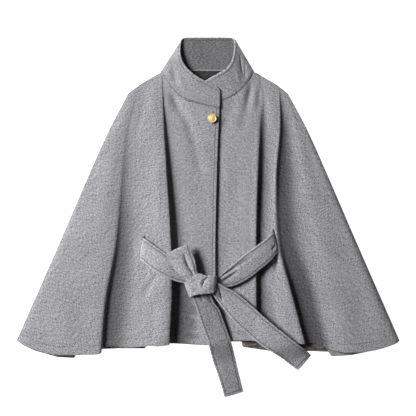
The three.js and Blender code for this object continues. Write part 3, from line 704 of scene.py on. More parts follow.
# %% Cross lines of the belt, in millimetres
BELT_LEFT = [
    # upper x, y, z, lower x, y, z
    (-139, -50, 3.9, -147, -96, 3.9),
    (-147, -49.5, 4.3, -155.5, -97, 4.3),
    (-153.6, -49.2, 8.4, -162, -99, 8.4),
    (-155, -49.6, 14, -163.4, -100, 14),
    (-154, -50.4, 17.6, -162.4, -100.8, 17.2),
    (-150.6, -52.8, 20.4, -159.2, -102.2, 19.8),
    (-143, -57.5, 22.8, -153, -106, 22.2),
    (-130, -67, 25.8, -142, -115.5, 25.2),
    (-114, -78, 28.6, -123, -128.8, 28.6),
    (-96, -90.7, 29.6, -100, -140.4, 29.8),
    (-77, -104.4, 27.2, -79, -150, 27.4),
    (-58, -120, 24.4, -60, -155.5, 24.6),
    (-40, -136, 21, -42, -162, 21),
]
BELT_RIGHT = [
    (142, -35, 3.9, 153, -80, 3.9),
    (150, -34.6, 4.3, 161, -81, 4.3),
    (156.4, -34.6, 8.4, 167.2, -82, 8.4),
    (157.6, -35, 14, 168.4, -83, 13.6),
    (156, -36.6, 17.4, 167.6, -84, 16.8),
    (151.4, -40.4, 20.4, 163.4, -87, 19.4),
    (138, -52.8, 23, 149, -102.7, 22.4),
    (113, -70.8, 23.4, 124, -123.6, 23),
    (88.3, -88.6, 22, 97.2, -144.7, 22),
    (64.8, -108.5, 21, 72, -158.4, 20),
    (43.2, -127.2, 21, 46.8, -165.6, 19),
    (22.8, -144.7, 22, 26.4, -163.2, 20),
    (8, -152, 22, 8, -166, 20),
]
BELT_LOOP = [
    (-24, -134, 31, -50, -153, 30),
    (-27.4, -126, 32, -59, -145, 30),
    (-31.4, -104.4, 31.6, -77, -127, 31),
    (-38.6, -85.2, 30.8, -90, -106.5, 32),
    (-44.8, -68, 30, -97, -91, 32.8),
    (-46.2, -63.6, 28.6, -99, -87.4, 32),
    (-46.2, -64.4, 26.6, -98, -88, 31.4),
    (-45.4, -68.4, 25, -95, -91, 31),
    (-40.8, -86, 25, -76, -101, 30),
    (-35, -105, 25.6, -62, -119, 28.4),
    (-30, -126, 27, -52, -138, 27.4),
]
BELT_TAIL_DOWN = [
    (3, -170, 23, -34, -177, 23),
    (6, -183, 21.4, -36, -190, 21.4),
    (14, -205, 18.6, -29, -212, 18.6),
    (25, -218, 17, -21.6, -234, 17),
    (36, -247, 15.4, -11, -266, 15),
    (47, -276, 14.4, -2, -290, 14),
    (54, -297, 13.8, 3, -308, 13.4),
    (59, -315, 8.4, 8, -328, 7.6),
    (64, -336, 2.6, 14, -350, 2.6),
    (71, -366, 1.6, 22, -372.5, 1.6),
    (78, -394, 1.6, 33, -406, 1.6),
    (84, -419, 1.6, 40, -431.7, 1.6),
]
BELT_TAIL_SIDE = [
    (14, -152, 26.4, 2, -172, 25.6),
    (24, -156.6, 27, 12, -184, 23.6),
    (41, -167, 26, 24, -201, 21),
    (61, -177, 24.8, 42, -223, 20.6),
    (95, -203.5, 24.4, 68, -254, 21.6),
    (130, -235, 26.4, 98, -280, 20.6),
    (163, -263, 28, 125, -303, 23),
    (197, -290, 28, 156, -323, 19.6),
    (220, -308, 22.6, 178, -338, 9),
    (236, -320.5, 12, 197, -353.5, 2.4),
    (247, -331, 5, 215.8, -367.4, 1.6),
]
BELT_BACK = [
    (-138.6, -50, 3.9, -146.6, -96, 3.9),
    (0, -43.5, 3.9, 0, -89.5, 3.9),
    (141.6, -35, 3.9, 152.6, -80, 3.9),
]

# %% [markdown]
# A belt of doubled cloth is a little plumper in the middle than at its edges, and where a knot squeezes it, it
# folds lengthwise. These folds are listed one by one, as the creases of the fronts are.

# %% A belt surface with its lengthwise folds
BAND_DOWN = 24
BAND_ALONG = 12
PLUMP_MM = 0.7


def band_grid(rows, creases=(), room=0.0, facing=1):
    """Cross lines carried along two smooth edges, plumped by a half sine across, with creases added in height."""
    rows = np.array(rows, float)
    places = places_along([BAND_ALONG] * (len(rows) - 1))
    upper = smooth_through(rows[:, :3], places)
    lower = smooth_through(rows[:, 3:], places)
    over = room / np.linalg.norm(lower - upper, axis=1)
    across = np.linspace(0, 1, BAND_DOWN + 1)
    part = -over[None, :] + across[:, None] * (1 + 2 * over[None, :])
    grid = upper[None] + part[..., None] * (lower - upper)[None]
    lift = PLUMP_MM * np.sin(np.pi * across)[:, None] * np.ones_like(part)
    grid = grid + grid_normals(grid) * facing * lift[..., None]
    grid[..., 2] += crease_height(creases, grid[..., 0], grid[..., 1])
    return grid


print("a band has", BAND_DOWN + 1, "points across and", BAND_ALONG, "steps from one cross line to the next")

# %% [markdown]
# ## Slits
# The slits are cut through the fronts where the belt passes. A cutter with the belt's own shape and a little
# room all round is taken away from each front, and so is a short blade above it, because the photographed slit
# is a little longer than the belt is wide and shows as a dark dot above it.

# %% Cut the slits with the belt's own shape
CUT_ROOM = 0.15
SLIT_ROWS = 7
HOLE_SIDES = 24
HOLE_HEIGHTS = (8.0, 60.0)


def ring_quads(rings, sides):
    """Faces between rings of points that have equally many sides, ring after ring, as numbers of their corners."""
    ring, k = np.meshgrid(np.arange(rings - 1) * sides, np.arange(sides), indexing="ij")
    n = (k + 1) % sides
    return np.stack([ring + k, ring + n, ring + n + sides, ring + k + sides], axis=-1).reshape(-1, 4)


def cutter_from(rows):
    """A belt's first cross lines as a closed solid with room all round it."""
    grid = band_grid(rows[:SLIT_ROWS], room=CUT_ROOM)
    points, faces, _ = wall_of(grid, BELT_CLOTH + 2 * CUT_ROOM)
    return make_piece("slit_cutter", points, faces, wool)


def lens_cutter(x, y, half_width, half_length, lean):
    """An upright prism, a lens seen from above: half_length times a sine up, half_width times the power one and a
    half of a cosine across, leaning right by lean over half its length."""
    k = np.arange(HOLE_SIDES)
    angle = k / HOLE_SIDES * 2 * np.pi
    up = half_length * np.sin(angle)
    across = half_width * np.cos(angle) * np.abs(np.cos(angle)) ** 0.5
    ring = np.stack([x + across + lean * up / half_length, y + up], axis=1)
    points = np.concatenate([np.column_stack([ring, np.full(HOLE_SIDES, height)]) for height in HOLE_HEIGHTS])
    faces = ring_quads(2, HOLE_SIDES).tolist() + [k[::-1].tolist(), (k + HOLE_SIDES).tolist()]
    return make_piece("hole_cutter", points, faces, wool)


def cut_with(piece, cutter):
    """Takes the cutter away from the piece with a Boolean modifier, applied, and removes the cutter."""
    modifier = piece.modifiers.new("slit", "BOOLEAN")
    modifier.operation = "DIFFERENCE"
    modifier.solver = "MANIFOLD"
    modifier.object = cutter
    bpy.context.view_layer.update()
    whole = piece.evaluated_get(bpy.context.evaluated_depsgraph_get())
    mesh = bpy.data.meshes.new_from_object(whole)
    piece.modifiers.clear()
    piece.data = mesh
    bpy.data.objects.remove(cutter)
    print(piece.name, "has", len(mesh.polygons), "faces after the cut")


print("a slit has", CUT_ROOM, "mm of room all round the belt")

# %% [markdown]
# ## Stitches
# Each stitch is a short thread that dips into the cloth at both ends. One small tube, tapered at the ends, is
# copied along a line on the surface as whole arrays, so a thousand stitches are one mesh.

# %% Rows of stitches on a surface
STITCH_MM = 3.4
STITCH_GAP_MM = 0.9
STITCH_START_MM = 1.0
THREAD_MM = 0.55
STITCH_SIDES = 6
STITCH_RINGS = [
    # part of the length, thickness, depth in the cloth, both as shares of the thread
    (0.0, 0.3, 0.5),
    (0.14, 1.0, 0.0),
    (0.5, 1.1, 0.0),
    (0.86, 1.0, 0.0),
    (1.0, 0.3, 0.5),
]


def grid_line(grid, rows, columns, lift):
    """Points on a grid at fractional rows and columns, moved out along the normal, and those normals."""
    normals = grid_normals(grid)

    def read(values):
        r = np.clip(np.floor(rows).astype(int), 0, grid.shape[0] - 2)
        c = np.clip(np.floor(columns).astype(int), 0, grid.shape[1] - 2)
        fr, fc = (rows - r)[:, None], (columns - c)[:, None]
        top = values[r, c] * (1 - fc) + values[r, c + 1] * fc
        low = values[r + 1, c] * (1 - fc) + values[r + 1, c + 1] * fc
        return top * (1 - fr) + low * fr

    out = unit(read(normals))
    return read(grid) + out * lift, out


def place_at_length(lengths, wanted):
    """Fractional index at which each line of lengths (along the last axis) reaches the wanted length."""
    return np.array([np.interp(want, line, np.arange(len(line))) for line, want in zip(lengths, wanted)])


def stitch_mesh(name, lines):
    """Tapered tubes of thread, end to end with gaps, along lines of points with their normals."""
    starts, ends, ups = [], [], []
    for points, normals in lines:
        lengths = run_lengths(points, 0)
        begin = np.arange(STITCH_START_MM, lengths[-1] - STITCH_MM, STITCH_MM + STITCH_GAP_MM)
        starts.append(read_at(points, lengths, begin))
        ends.append(read_at(points, lengths, begin + STITCH_MM))
        ups.append(unit(read_at(normals, lengths, begin + STITCH_MM / 2)))
    start, end, up = (np.concatenate(group) for group in (starts, ends, ups))
    side = unit(np.cross(up, end - start))
    angle = np.arange(STITCH_SIDES) / STITCH_SIDES * 2 * np.pi
    hoop = side[:, None] * np.cos(angle)[None, :, None] + up[:, None] * np.sin(angle)[None, :, None]
    rings = []
    for part, swell, depth in STITCH_RINGS:
        centre = start + (end - start) * part - up * THREAD_MM * depth
        rings.append(centre[:, None] + hoop * THREAD_MM / 2 * swell)
    points = np.stack(rings, axis=1).reshape(-1, 3)
    count, per = len(start), len(STITCH_RINGS) * STITCH_SIDES
    k = np.arange(STITCH_SIDES)
    caps = np.stack([k[::-1], k + per - STITCH_SIDES])
    offset = (np.arange(count) * per)[:, None, None]
    faces = (ring_quads(len(STITCH_RINGS), STITCH_SIDES)[None] + offset).reshape(-1, 4).tolist()
    faces += (caps[None] + offset).reshape(-1, STITCH_SIDES).tolist()
    piece = make_piece(name, points, faces, thread)
    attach(piece, "root")
    print(name, "has", count, "stitches")
    return piece


print("a row has a stitch every", round(STITCH_MM + STITCH_GAP_MM, 1), "mm")

# %% [markdown]
# ## Shade in the lee of the folds
# Woollen cloth drinks light, and in the photo the hollow beside each fold fades slowly from nearly black to grey.
# One soft lamp leaves a narrower, harder shadow. More lamps would wash it out, so the rest of the fade is painted:
# a number in each front's surface says how far a point lies in the lee of a fold, seen from the light's side, and
# the wool's colour is darkened by it. It is worked out from the heights of the cloth, so it moves with the folds.

# %% How deep a point lies beside a fold
VALLEY_STEP = 4.0
VALLEY_REACH = 15
VALLEY_SPAN = 500
VALLEY = {
    # front: slope that the light clears, depth in millimetres of full shade, most shade
    "left": (math.tan(math.radians(9.5)), 7.2, 0.65),
    "right": (math.tan(math.radians(12)), 9.0, 0.5),
}
LEFT_VALLEYS_FROM = (112, 122)
RIGHT_VALLEYS_FROM = (150, 172)
RIGHT_VALLEYS_BELOW = (60, 160)


def valley_shade(grid, side):
    """The height of the cloth up to 60 mm to a point's left, less a slope that the light clears and less the
    point's own height, as a share of a full depth. It is read every 4 mm along each row of the grid, and each
    value is the mean of five. On the right front it fades in low down or far out."""
    slope, depth, most = VALLEY[side]
    places = np.arange(-VALLEY_SPAN, VALLEY_SPAN, VALLEY_STEP)
    shade = np.empty(grid.shape[:2])
    for row, line in enumerate(grid):
        order = np.argsort(line[:, 0])
        height = np.interp(places, line[order, 0], line[order, 2])
        behind = [np.roll(height, k) - k * VALLEY_STEP * slope for k in range(1, VALLEY_REACH + 1)]
        lee = np.clip((np.max(behind, axis=0) - height) / depth, 0, most)
        lee = np.mean([np.roll(lee, k) for k in range(-2, 3)], axis=0)
        shade[row] = np.interp(line[:, 0], places, lee)
    x, y = grid[..., 0], grid[..., 1]
    if side == "left":
        return shade * smoothstep(x, *LEFT_VALLEYS_FROM)
    return shade * np.maximum(smoothstep(-x, *RIGHT_VALLEYS_FROM), smoothstep(-y, *RIGHT_VALLEYS_BELOW))


for side, (slope, depth, most) in VALLEY.items():
    print(side, "front: the light clears a slope of", round(slope, 3), "and the shade is full", depth, "mm below it")

# %% [markdown]
# ## Dress the fronts
# The topstitching runs six millimetres inside the edge of the placket, from neck to hem, and the hem is caught
# about twenty millimetres up. The left front's own edge lies hidden under the placket. Away from the middle the
# cloth hangs on the cross, so its streaks turn between two distances from the coat's middle line.

# %% Make the right and left fronts
STITCH_LIFT = 0.05
HEM_STITCH_LIFT = -0.12
NO_EDGE = 99.0
FRONTS = [
    # side, grid, where the streaks turn, belt in its slit, dark dot above it: x, y, half width and length, lean
    ("right", right_grid, (86, 104), BELT_LEFT, (-152.6, -48.2, 2.0, 3.4, 0.6)),
    ("left", left_grid, (120, 150), BELT_RIGHT, (156.8, -39.5, 3.6, 10, 1.2)),
]


def column_before_end(grid, distance_mm):
    """Fractional column at one distance across from the last column, for every row."""
    across = run_lengths(grid, 1)
    return place_at_length(across, across[:, -1] - distance_mm)


def row_before_end(grid, distance_mm):
    """Fractional row at one distance up from the last row, for every column."""
    down = run_lengths(grid, 0).T
    return place_at_length(down, down[:, -1] - distance_mm)


def make_front(side, grid, turn, belt_rows, hole):
    """One front, cut for its belt, with its stitches. The right one lies on top and shows its edge."""
    upper = side == "right"
    name = side + "_front_cloth"
    across, down = run_lengths(grid, 1), run_lengths(grid, 0)
    numbers = {
        "edge": across[:, -1:] - across if upper else np.full_like(across, NO_EDGE),
        "hem": down[-1:] - down,
        "bias": smoothstep(np.abs(grid[..., 0]), *turn),
        "valley": valley_shade(grid, side),
    }
    uv = cloth_uv(grid, from_column=-1) if upper else cloth_uv(grid) * [-1, 1]
    piece = make_cloth(name, grid, CLOTH, wool_hemmed, uv, numbers, inside_height)
    cut_with(piece, cutter_from(belt_rows))
    cut_with(piece, lens_cutter(*hole))
    rows, columns = (np.arange(count, dtype=float) for count in grid.shape[:2])
    lines = [grid_line(grid, row_before_end(grid, HEM_STITCH_MM), columns, CLOTH / 2 + HEM_STITCH_LIFT)]
    if upper:
        lines.append(grid_line(grid, rows, column_before_end(grid, TOPSTITCH_MM), CLOTH / 2 + STITCH_LIFT))
    stitches = stitch_mesh(name + "_stitches", lines)
    declare(piece, grid, side + "_front")


for front in FRONTS:
    make_front(*front)

# %% [markdown]
# ## The back
# The back is one wide panel that lies flat on the surface. Its outline is the coat's own: shoulders, side seams
# and a hem that dips below the front hem here and there. Only those places show, so the panel is a plain sheet
# with a hem that waves a little. A sheet between four curved edges is a Coons patch: it adds the blend of the
# top and bottom edges to the blend of the two sides, and takes away the corners counted twice.

# %% The back panel from its four edges
NECK_SAG = 2.6
SHOULDER = [(108, 350), (143, 332), (167.5, 317), (192, 297)]
BACK_HEM = [(460, -296), (441, -306.5), (414, -316), (345, -331), (297.5, -334), (290.5, -323), (242, -321),
            (149, -321), (83, -311), (81.5, -298), (-146, -298), (-152, -314.5), (-216, -314.5), (-256, -316),
            (-300, -324), (-316, -326), (-323, -337.5), (-362, -335.5), (-389, -328), (-417, -320.5),
            (-444, -308), (-460, -296)]
BACK_COLUMNS = 260
BACK_ROWS = 60
OUTLINE_STEPS = 8


def along_outline(corners, count, smooth):
    """Evenly spaced points along a line through corners, straight or smooth between them."""
    corners = np.array([(x, y, 0.0) for x, y in corners])
    if smooth:
        corners = smooth_through(corners, places_along([OUTLINE_STEPS] * (len(corners) - 1)))
    lengths = run_lengths(corners, 0)
    return read_at(corners, lengths, np.linspace(0, lengths[-1], count))


def coons(top, bottom, left, right):
    """Blend of top and bottom down, plus blend of left and right across, less the bilinear blend of corners."""
    v = np.linspace(0, 1, len(left))[:, None, None]
    u = np.linspace(0, 1, len(top))[None, :, None]
    between = (1 - v) * top[None] + v * bottom[None]
    sides = (1 - u) * left[:, None] + u * right[:, None]
    corners = ((1 - u) * (1 - v) * top[0] + u * (1 - v) * top[-1] + (1 - u) * v * bottom[0] + u * v * bottom[-1])
    return between + sides - corners


mirrored_shoulder = [(-x, y) for x, y in SHOULDER[::-1]]
half_neck, neck_y = SHOULDER[0]
neck_line = [(x, neck_y + NECK_SAG * (1 - (x / half_neck) ** 2)) for x in (-half_neck / 2, 0, half_neck / 2)]
back_top = along_outline(mirrored_shoulder + neck_line + SHOULDER, BACK_COLUMNS, True)
back_bottom = along_outline(BACK_HEM[::-1], BACK_COLUMNS, False)
back_left = along_outline(right_grid[:, 0, :2], BACK_ROWS, False)
back_right = along_outline(left_grid[:, -1, :2], BACK_ROWS, False)
back_grid = coons(back_top, back_bottom, back_left, back_right) + np.array([0, 0, CLOTH / 2])


def not_below(level):
    """A height rule for a piece that lies on one flat level."""
    return lambda x, y: np.full_like(x, level)


back_cloth = make_cloth("back_cloth", back_grid, CLOTH, wool, lowest=not_below(0.0))
declare(back_cloth, back_grid, "back_panel")

# %% [markdown]
# ## Dark facings
# A facing lines the inside of the back neck, and the inside of the back hem is lined too. They show in the neck
# opening and in strips below the front hem. On the viewer's right the lining is crumpled, and one of its wrinkles
# catches the light. Where a front lies on the lining it is pressed flat, so the wrinkles fade under the front.

# %% The neck facing and the two hem linings
LINING_COLUMNS = 240
LINING_ROWS = 60
PRESSED_OVER = 5
NEVER_PRESSED = 999
LINING_WRINKLES_LEFT = [
    (-372, -328, -330, -330, 3, 1.6),
    (-330, -322, -320, -333, 3, 2.2),
    (-250, -309, -226, -311, 2.4, 1.0),
    (-214, -309, -160, -311, 2.2, 1.2),
]
LINING_WRINKLES_RIGHT = [
    (86, -306, 104, -312, 2.6, 2.8),
    (94, -309, 124, -305, 2.0, 3.6),
    (112, -305, 150, -313, 2.6, 3.4),
    (98, -314, 150, -316, 2.0, 2.2),
    (150, -307, 186, -316, 2.4, 2.8),
    (184, -308, 226, -313, 2.4, 3.6),
    (206, -306, 238, -318, 2.0, 3.2),
    (222, -311, 262, -317, 2.2, 2.8),
    (250, -309, 286, -313, 2.4, 3.2),
    (264, -316, 288, -310, 1.8, 2.4),
]


def lining_grid(top, bottom, wrinkles, pressed_above):
    """A ruled sheet between two outlines, raised by wrinkles that fade where a front presses on it."""
    upper = along_outline(top, LINING_COLUMNS, False)
    lower = along_outline(bottom, LINING_COLUMNS, False)
    part = np.linspace(0, 1, LINING_ROWS)[:, None, None]
    grid = (1 - part) * upper[None] + part * lower[None]
    free = 1 - smoothstep(grid[..., 1], pressed_above - PRESSED_OVER, pressed_above)
    grid[..., 2] = CLOTH + GAP + FACING_CLOTH / 2 + crease_height(wrinkles, grid[..., 0], grid[..., 1]) * free
    return grid


def make_lining(name, node, top, bottom, wrinkles, pressed_above, finish=lining):
    """One lining piece on the back panel."""
    grid = lining_grid(top, bottom, wrinkles, pressed_above)
    piece = make_cloth(name, grid, FACING_CLOTH, finish, lowest=not_below(CLOTH + GAP))
    declare(piece, grid, node)


make_lining("neck_lining", "neck_facing", [(-88, 350.6), (0, 352), (88, 350.6)],
            [(-88, 332), (-62, 308), (0, 298), (62, 308), (88, 332)], [], NEVER_PRESSED, neck_lining_painted_shade)
make_lining("hem_lining_left_cloth", "hem_lining_left", [(-389, -300), (-150, -300)],
            [(-389, -325.5), (-362, -333), (-329, -334.4), (-321, -324), (-300, -321.5), (-256, -315),
             (-216, -314), (-154.5, -314)], LINING_WRINKLES_LEFT, -322)
make_lining("hem_lining_right_cloth", "hem_lining_right", [(84.5, -288), (292, -296)],
            [(85, -308.5), (149, -318.5), (242, -318.5), (285, -320.5), (292, -310)],
            LINING_WRINKLES_RIGHT, -301)

# %% [markdown]
# ## The stand collar
# The collar is a doubled strip, stiff enough to stand when worn. Laid down it is squashed flat: its back lies
# inside out on the surface, its two ends fold over to the front, and the wearer's right end laps over the left.
# Each row below is one station along it, with the neck seam and the rim. Soft creases show where it is squashed.

# %% Stations of the collar, in millimetres
COLLAR_CLOTH = 4.0
COLLAR = [
    # station, steps to the next, seam x, y, height, rim x, y, height
    ("under end", 2, -7, 272.4, 8.4, -22, 318, 11),
    ("under lap", 3, 20, 277, 9, -2, 329, 13.5),
    ("left front", 3, 42, 283, 10.2, 21, 341.5, 16.5),
    ("left cheek", 3, 67, 296, 9.6, 45, 356, 17.4),
    ("left jaw", 2, 85, 313, 9.2, 58, 374, 16),
    ("left side", 2, 97, 331, 8.6, 63.5, 396, 13),
    ("left neck", 2, 104.5, 345, 7.8, 65, 414, 10),
    ("left fold", 2, 108.5, 351.4, 5.4, 63.6, 427.5, 6.8),
    ("left back", 2, 98, 352.6, 2, 57, 431, 3.4),
    ("back", 4, 56, 353.6, 2, 34, 432, 3.4),
    ("centre back", 4, 0, 354, 2, 0, 432, 3.4),
    ("back", 2, -56, 353.6, 2, -34, 432, 3.4),
    ("right back", 2, -98, 352.6, 2, -57, 431, 3.6),
    ("right fold", 2, -111.5, 351, 5.4, -63.4, 426.5, 6.8),
    ("right neck", 2, -107.5, 342, 8.6, -67, 408, 10.6),
    ("right side", 2, -99.5, 328.5, 9.8, -66.5, 389, 14.6),
    ("right jaw", 3, -86, 310, 11, -59, 368, 16.5),
    ("right cheek", 3, -64, 289, 12.2, -44.5, 350.5, 19),
    ("right front", 3, -38, 279, 13.2, -25, 335.5, 19.4),
    ("right lap", 2, -8, 269.5, 14, -2, 323, 18.6),
    ("upper lap", 1, 14, 265, 14.6, 17, 314, 16.8),
    ("upper corner", 1, 22, 263.4, 14.8, 24.5, 309.5, 16.2),
    ("upper end", 0, 27, 262.8, 14.8, 28, 302, 15.8),
]
COLLAR_CREASES = [
    (76, 392, 84, 336, 3.2, -2.6),
    (88, 372, 90, 330, 3.0, -2.0),
    (66, 360, 76, 322, 4.0, 1.2),
    (-84, 366, -76, 318, 6.0, -1.8),
    (-70, 352, -58, 306, 6.0, 1.2),
    (-96, 360, -92, 330, 5.0, 1.0),
    (30, 330, 52, 300, 9.0, -0.9),
]
COLLAR_RISES = 30
COLLAR_FINE = 5
INNER_STITCH_LIFT = -0.1


def collar_grid():
    """Smooth along the rim and along the neck seam, and straight between the two."""
    seam = np.array([row[2:5] for row in COLLAR], float)
    rim = np.array([row[5:8] for row in COLLAR], float)
    places = places_along([row[1] * COLLAR_FINE for row in COLLAR[:-1]])
    part = np.linspace(0, 1, COLLAR_RISES + 1)[:, None, None]
    return (1 - part) * smooth_through(rim, places)[None] + part * smooth_through(seam, places)[None]


collar = collar_grid()
collar[..., 2] += crease_height(COLLAR_CREASES, collar[..., 0], collar[..., 1])
collar_down = run_lengths(collar, 0)
collar_numbers = {"edge": collar_down, "seam": collar_down[-1:] - collar_down, "bias": collar_down * 0}
collar_cloth = make_cloth("collar_cloth", collar, COLLAR_CLOTH, wool_collar, numbers=collar_numbers,
                          lowest=not_below(0.0))
collar_columns = np.arange(collar.shape[1], dtype=float)
collar_rows = place_at_length(collar_down.T, np.full(collar.shape[1], TOPSTITCH_MM))
collar_stitches = stitch_mesh("collar_stitches", [
    grid_line(collar, collar_rows, collar_columns, COLLAR_CLOTH / 2),
    grid_line(collar, collar_rows, collar_columns, -COLLAR_CLOTH / 2 + INNER_STITCH_LIFT),
])
declare(collar_cloth, collar, "stand_collar")

# %% [markdown]
# ## The core of the knot
# The belt is tied in a half bow. Inside the knot are layers of belt squeezed to a rounded block. Nothing of
# it shows but dark slits between the layers, so it is a plain dome over the knot's outline, a little smaller.

# %% A rounded core
KNOT_OUTLINE = [(-55, -156), (-38, -143.5), (-21.5, -133), (-8, -139.5), (4, -139.6), (19, -140), (20.6, -155),
                (17, -171.6), (9, -181), (-14, -184), (-37, -186.6), (-43, -190), (-49, -174)]
KNOT_BASE = 13.5
CORE_TOP = 31
CORE_SHARE = 0.88
CORE_UNDER = 0.35
CORE_TUCK = -0.9
KNOT_SQUARENESS = 0.45
KNOT_RINGS = 24
KNOT_POINTS = 96


def core_mesh():
    """Rings of the outline, drawn in by a power of a cosine while their height follows a sine of the same angle,
    with a point in the middle of the base and one of the top. Faces turn round if the outline runs clockwise."""
    corners = np.array([(x, y, 0.0) for x, y in KNOT_OUTLINE])
    wrapped = np.concatenate([corners[-2:], corners, corners[:3]])
    loop = smooth_through(wrapped, 2 + np.linspace(0, len(corners), KNOT_POINTS, endpoint=False))
    middle = corners.mean(axis=0)
    angle = (np.arange(KNOT_RINGS) / KNOT_RINGS - CORE_UNDER) * math.pi / 2 / (1 - CORE_UNDER)
    inwards = CORE_SHARE * np.cos(np.maximum(angle, CORE_TUCK)) ** KNOT_SQUARENESS
    rise = np.maximum(CORE_UNDER + (1 - CORE_UNDER) * np.sin(angle), 0)
    rings = middle + (loop - middle)[None] * inwards[:, None, None]
    rings[..., 2] = (KNOT_BASE + (CORE_TOP - KNOT_BASE) * rise)[:, None]
    points = np.concatenate([rings.reshape(-1, 3), [[middle[0], middle[1], KNOT_BASE]], [rings[-1].mean(axis=0)]])
    k = np.arange(KNOT_POINTS)
    n = (k + 1) % KNOT_POINTS
    last = (KNOT_RINGS - 1) * KNOT_POINTS
    below = np.stack([np.full_like(k, len(points) - 2), n, k], axis=1)
    above = np.stack([np.full_like(k, len(points) - 1), last + k, last + n], axis=1)
    faces = ring_quads(KNOT_RINGS, KNOT_POINTS).tolist() + below.tolist() + above.tolist()
    area = np.sum(loop[:, 0] * np.roll(loop[:, 1], -1) - loop[:, 1] * np.roll(loop[:, 0], -1))
    return points, [face[::-1] for face in faces] if area < 0 else faces


core_points, core_faces = core_mesh()
knot_core = make_piece("knot_core", core_points, core_faces, wool, core_points[:, :2] * MM,
                       {"bias": np.ones(len(core_points))})
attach(knot_core, "root")
print("knot core:", len(core_faces), "faces")

# %% [markdown]
# ## The belt
# Every stretch of the belt is made the same way from its cross lines. Its two long edges are topstitched, and a
# free end is stitched across as well. The stretches go into the knot, which hides their ends.

# %% Stretches of belt
LOOP_CREASES = [
    (-57, -86, -47, -120, 3.6, -4.2),
    (-51, -108, -31, -142, 3.2, -5.4),
    (-42, -100, -29, -136, 2.6, 1.6),
    (-74, -104, -46, -142, 8.0, 1.6),
    (-62, -140, -44, -150, 3.4, -2.0),
]
RIGHT_STRETCH_CREASES = [
    (20, -150, 66, -118, 2.8, -4.0),
    (40, -136, 112, -90, 4.5, -2.2),
    (30, -156, 74, -128, 4.0, -3.6),
    (26, -150, 70, -124, 2.2, 1.6),
    (161, -66, 153, -78, 2.4, -3.4),
    (92, -104, 140, -80, 8.0, 0.8),
]
TAIL_DOWN_CREASES = [
    (-22, -182, -10, -202, 2.6, -2.4),
    (-3, -182, 11, -206, 3.0, -2.4),
    (2, -232, 20, -280, 9.0, -0.9),
    (24, -330, 44, -390, 10.0, 0.8),
]
TAIL_SIDE_CREASES = [
    (15, -160, 29, -172, 2.4, -3.6),
    (27, -170, 34, -198, 2.4, -4.6),
    (20, -172, 24, -192, 4.0, 2.0),
    (56, -196, 96, -232, 8.0, -1.0),
    (110, -244, 168, -292, 10.0, 0.8),
]

BELT_PIECES = [
    # node, cross lines, side that faces up, creases, what it lies on, whether its last end is free
    ("belt_back", BELT_BACK, 1, [], "back_cloth", False),
    ("belt_left", BELT_LEFT, 1, [], "right_front_cloth", False),
    ("belt_right", BELT_RIGHT, -1, RIGHT_STRETCH_CREASES, "left_front_cloth", False),
    ("belt_loop", BELT_LOOP, -1, LOOP_CREASES, "belt_left_cloth", False),
    ("belt_tail_down", BELT_TAIL_DOWN, 1, TAIL_DOWN_CREASES, "right_front_cloth", True),
    ("belt_tail_side", BELT_TAIL_SIDE, 1, TAIL_SIDE_CREASES, "left_front_cloth", True),
]
BELT_STITCH_MM = 5.0
EDGE_SHARE = 0.62
EDGE_ROUND = 0.4
LOOP_THIN_FROM = 0.7
LOOP_THIN_BY = 0.55


def belt_stitches(name, grid, facing, both_edges, free_end):
    """Rows of stitches inside the long edges, and across a free end."""
    lift = facing * (BELT_CLOTH / 2 + STITCH_LIFT)
    across = run_lengths(grid, 0).T
    columns = np.arange(grid.shape[1], dtype=float)
    near = place_at_length(across, np.full(len(across), BELT_STITCH_MM))
    lines = [grid_line(grid, near, columns, lift)]
    if both_edges:
        lines.append(grid_line(grid, row_before_end(grid, BELT_STITCH_MM), columns, lift))
    if free_end:
        rows = np.arange(2, grid.shape[0] - 2, dtype=float)
        lines.append(grid_line(grid, rows, column_before_end(grid, BELT_STITCH_MM)[2:-2], lift))
    return stitch_mesh(name, lines)


def make_belt(node, rows, facing, creases, rests_on, free_end):
    """One stretch of belt with its stitches. It gets thinner towards its edges by a power of a half sine. One edge
    of the loop turns under, so it is plain and thinner still."""
    turned_under = node == "belt_loop"
    grid = band_grid(rows, creases, facing=facing)
    across, along = run_lengths(grid, 0), run_lengths(grid, 1)
    part = np.linspace(0, 1, grid.shape[0])[:, None] * np.ones(grid.shape[:2])
    thickness = BELT_CLOTH * (EDGE_SHARE + (1 - EDGE_SHARE) * np.sin(np.pi * part) ** EDGE_ROUND)
    edge = across if turned_under else np.minimum(across, across[-1:] - across)
    if turned_under:
        thickness = thickness * (1 - LOOP_THIN_BY * smoothstep(part, LOOP_THIN_FROM, 1.0))
    if free_end:
        edge = np.minimum(edge, along[:, -1:] - along)
    numbers = {"edge": edge + TOPSTITCH_MM - BELT_STITCH_MM, "bias": np.zeros(edge.shape)}
    name = node + "_cloth"
    piece = make_cloth(name, grid, thickness, belt_wools[node], numbers=numbers, lowest=not_below(0.0))
    extra = [belt_stitches(name + "_stitches", grid, facing, not turned_under, free_end)]
    if node == "belt_left":
        extra.append(knot_core)
    declare(piece, grid, node)


for belt_piece in BELT_PIECES:
    make_belt(*belt_piece)

# %% [markdown]
# ## The wrap of the knot
# What shows of the knot is one turn of the belt, pulled tight over the rest. It starts at a sharp corner at the
# lower left, crosses over the top, and turns down steeply at the right. At its upper edge the cloth curls into a
# short deep crease, because the turn is narrower there than the belt.

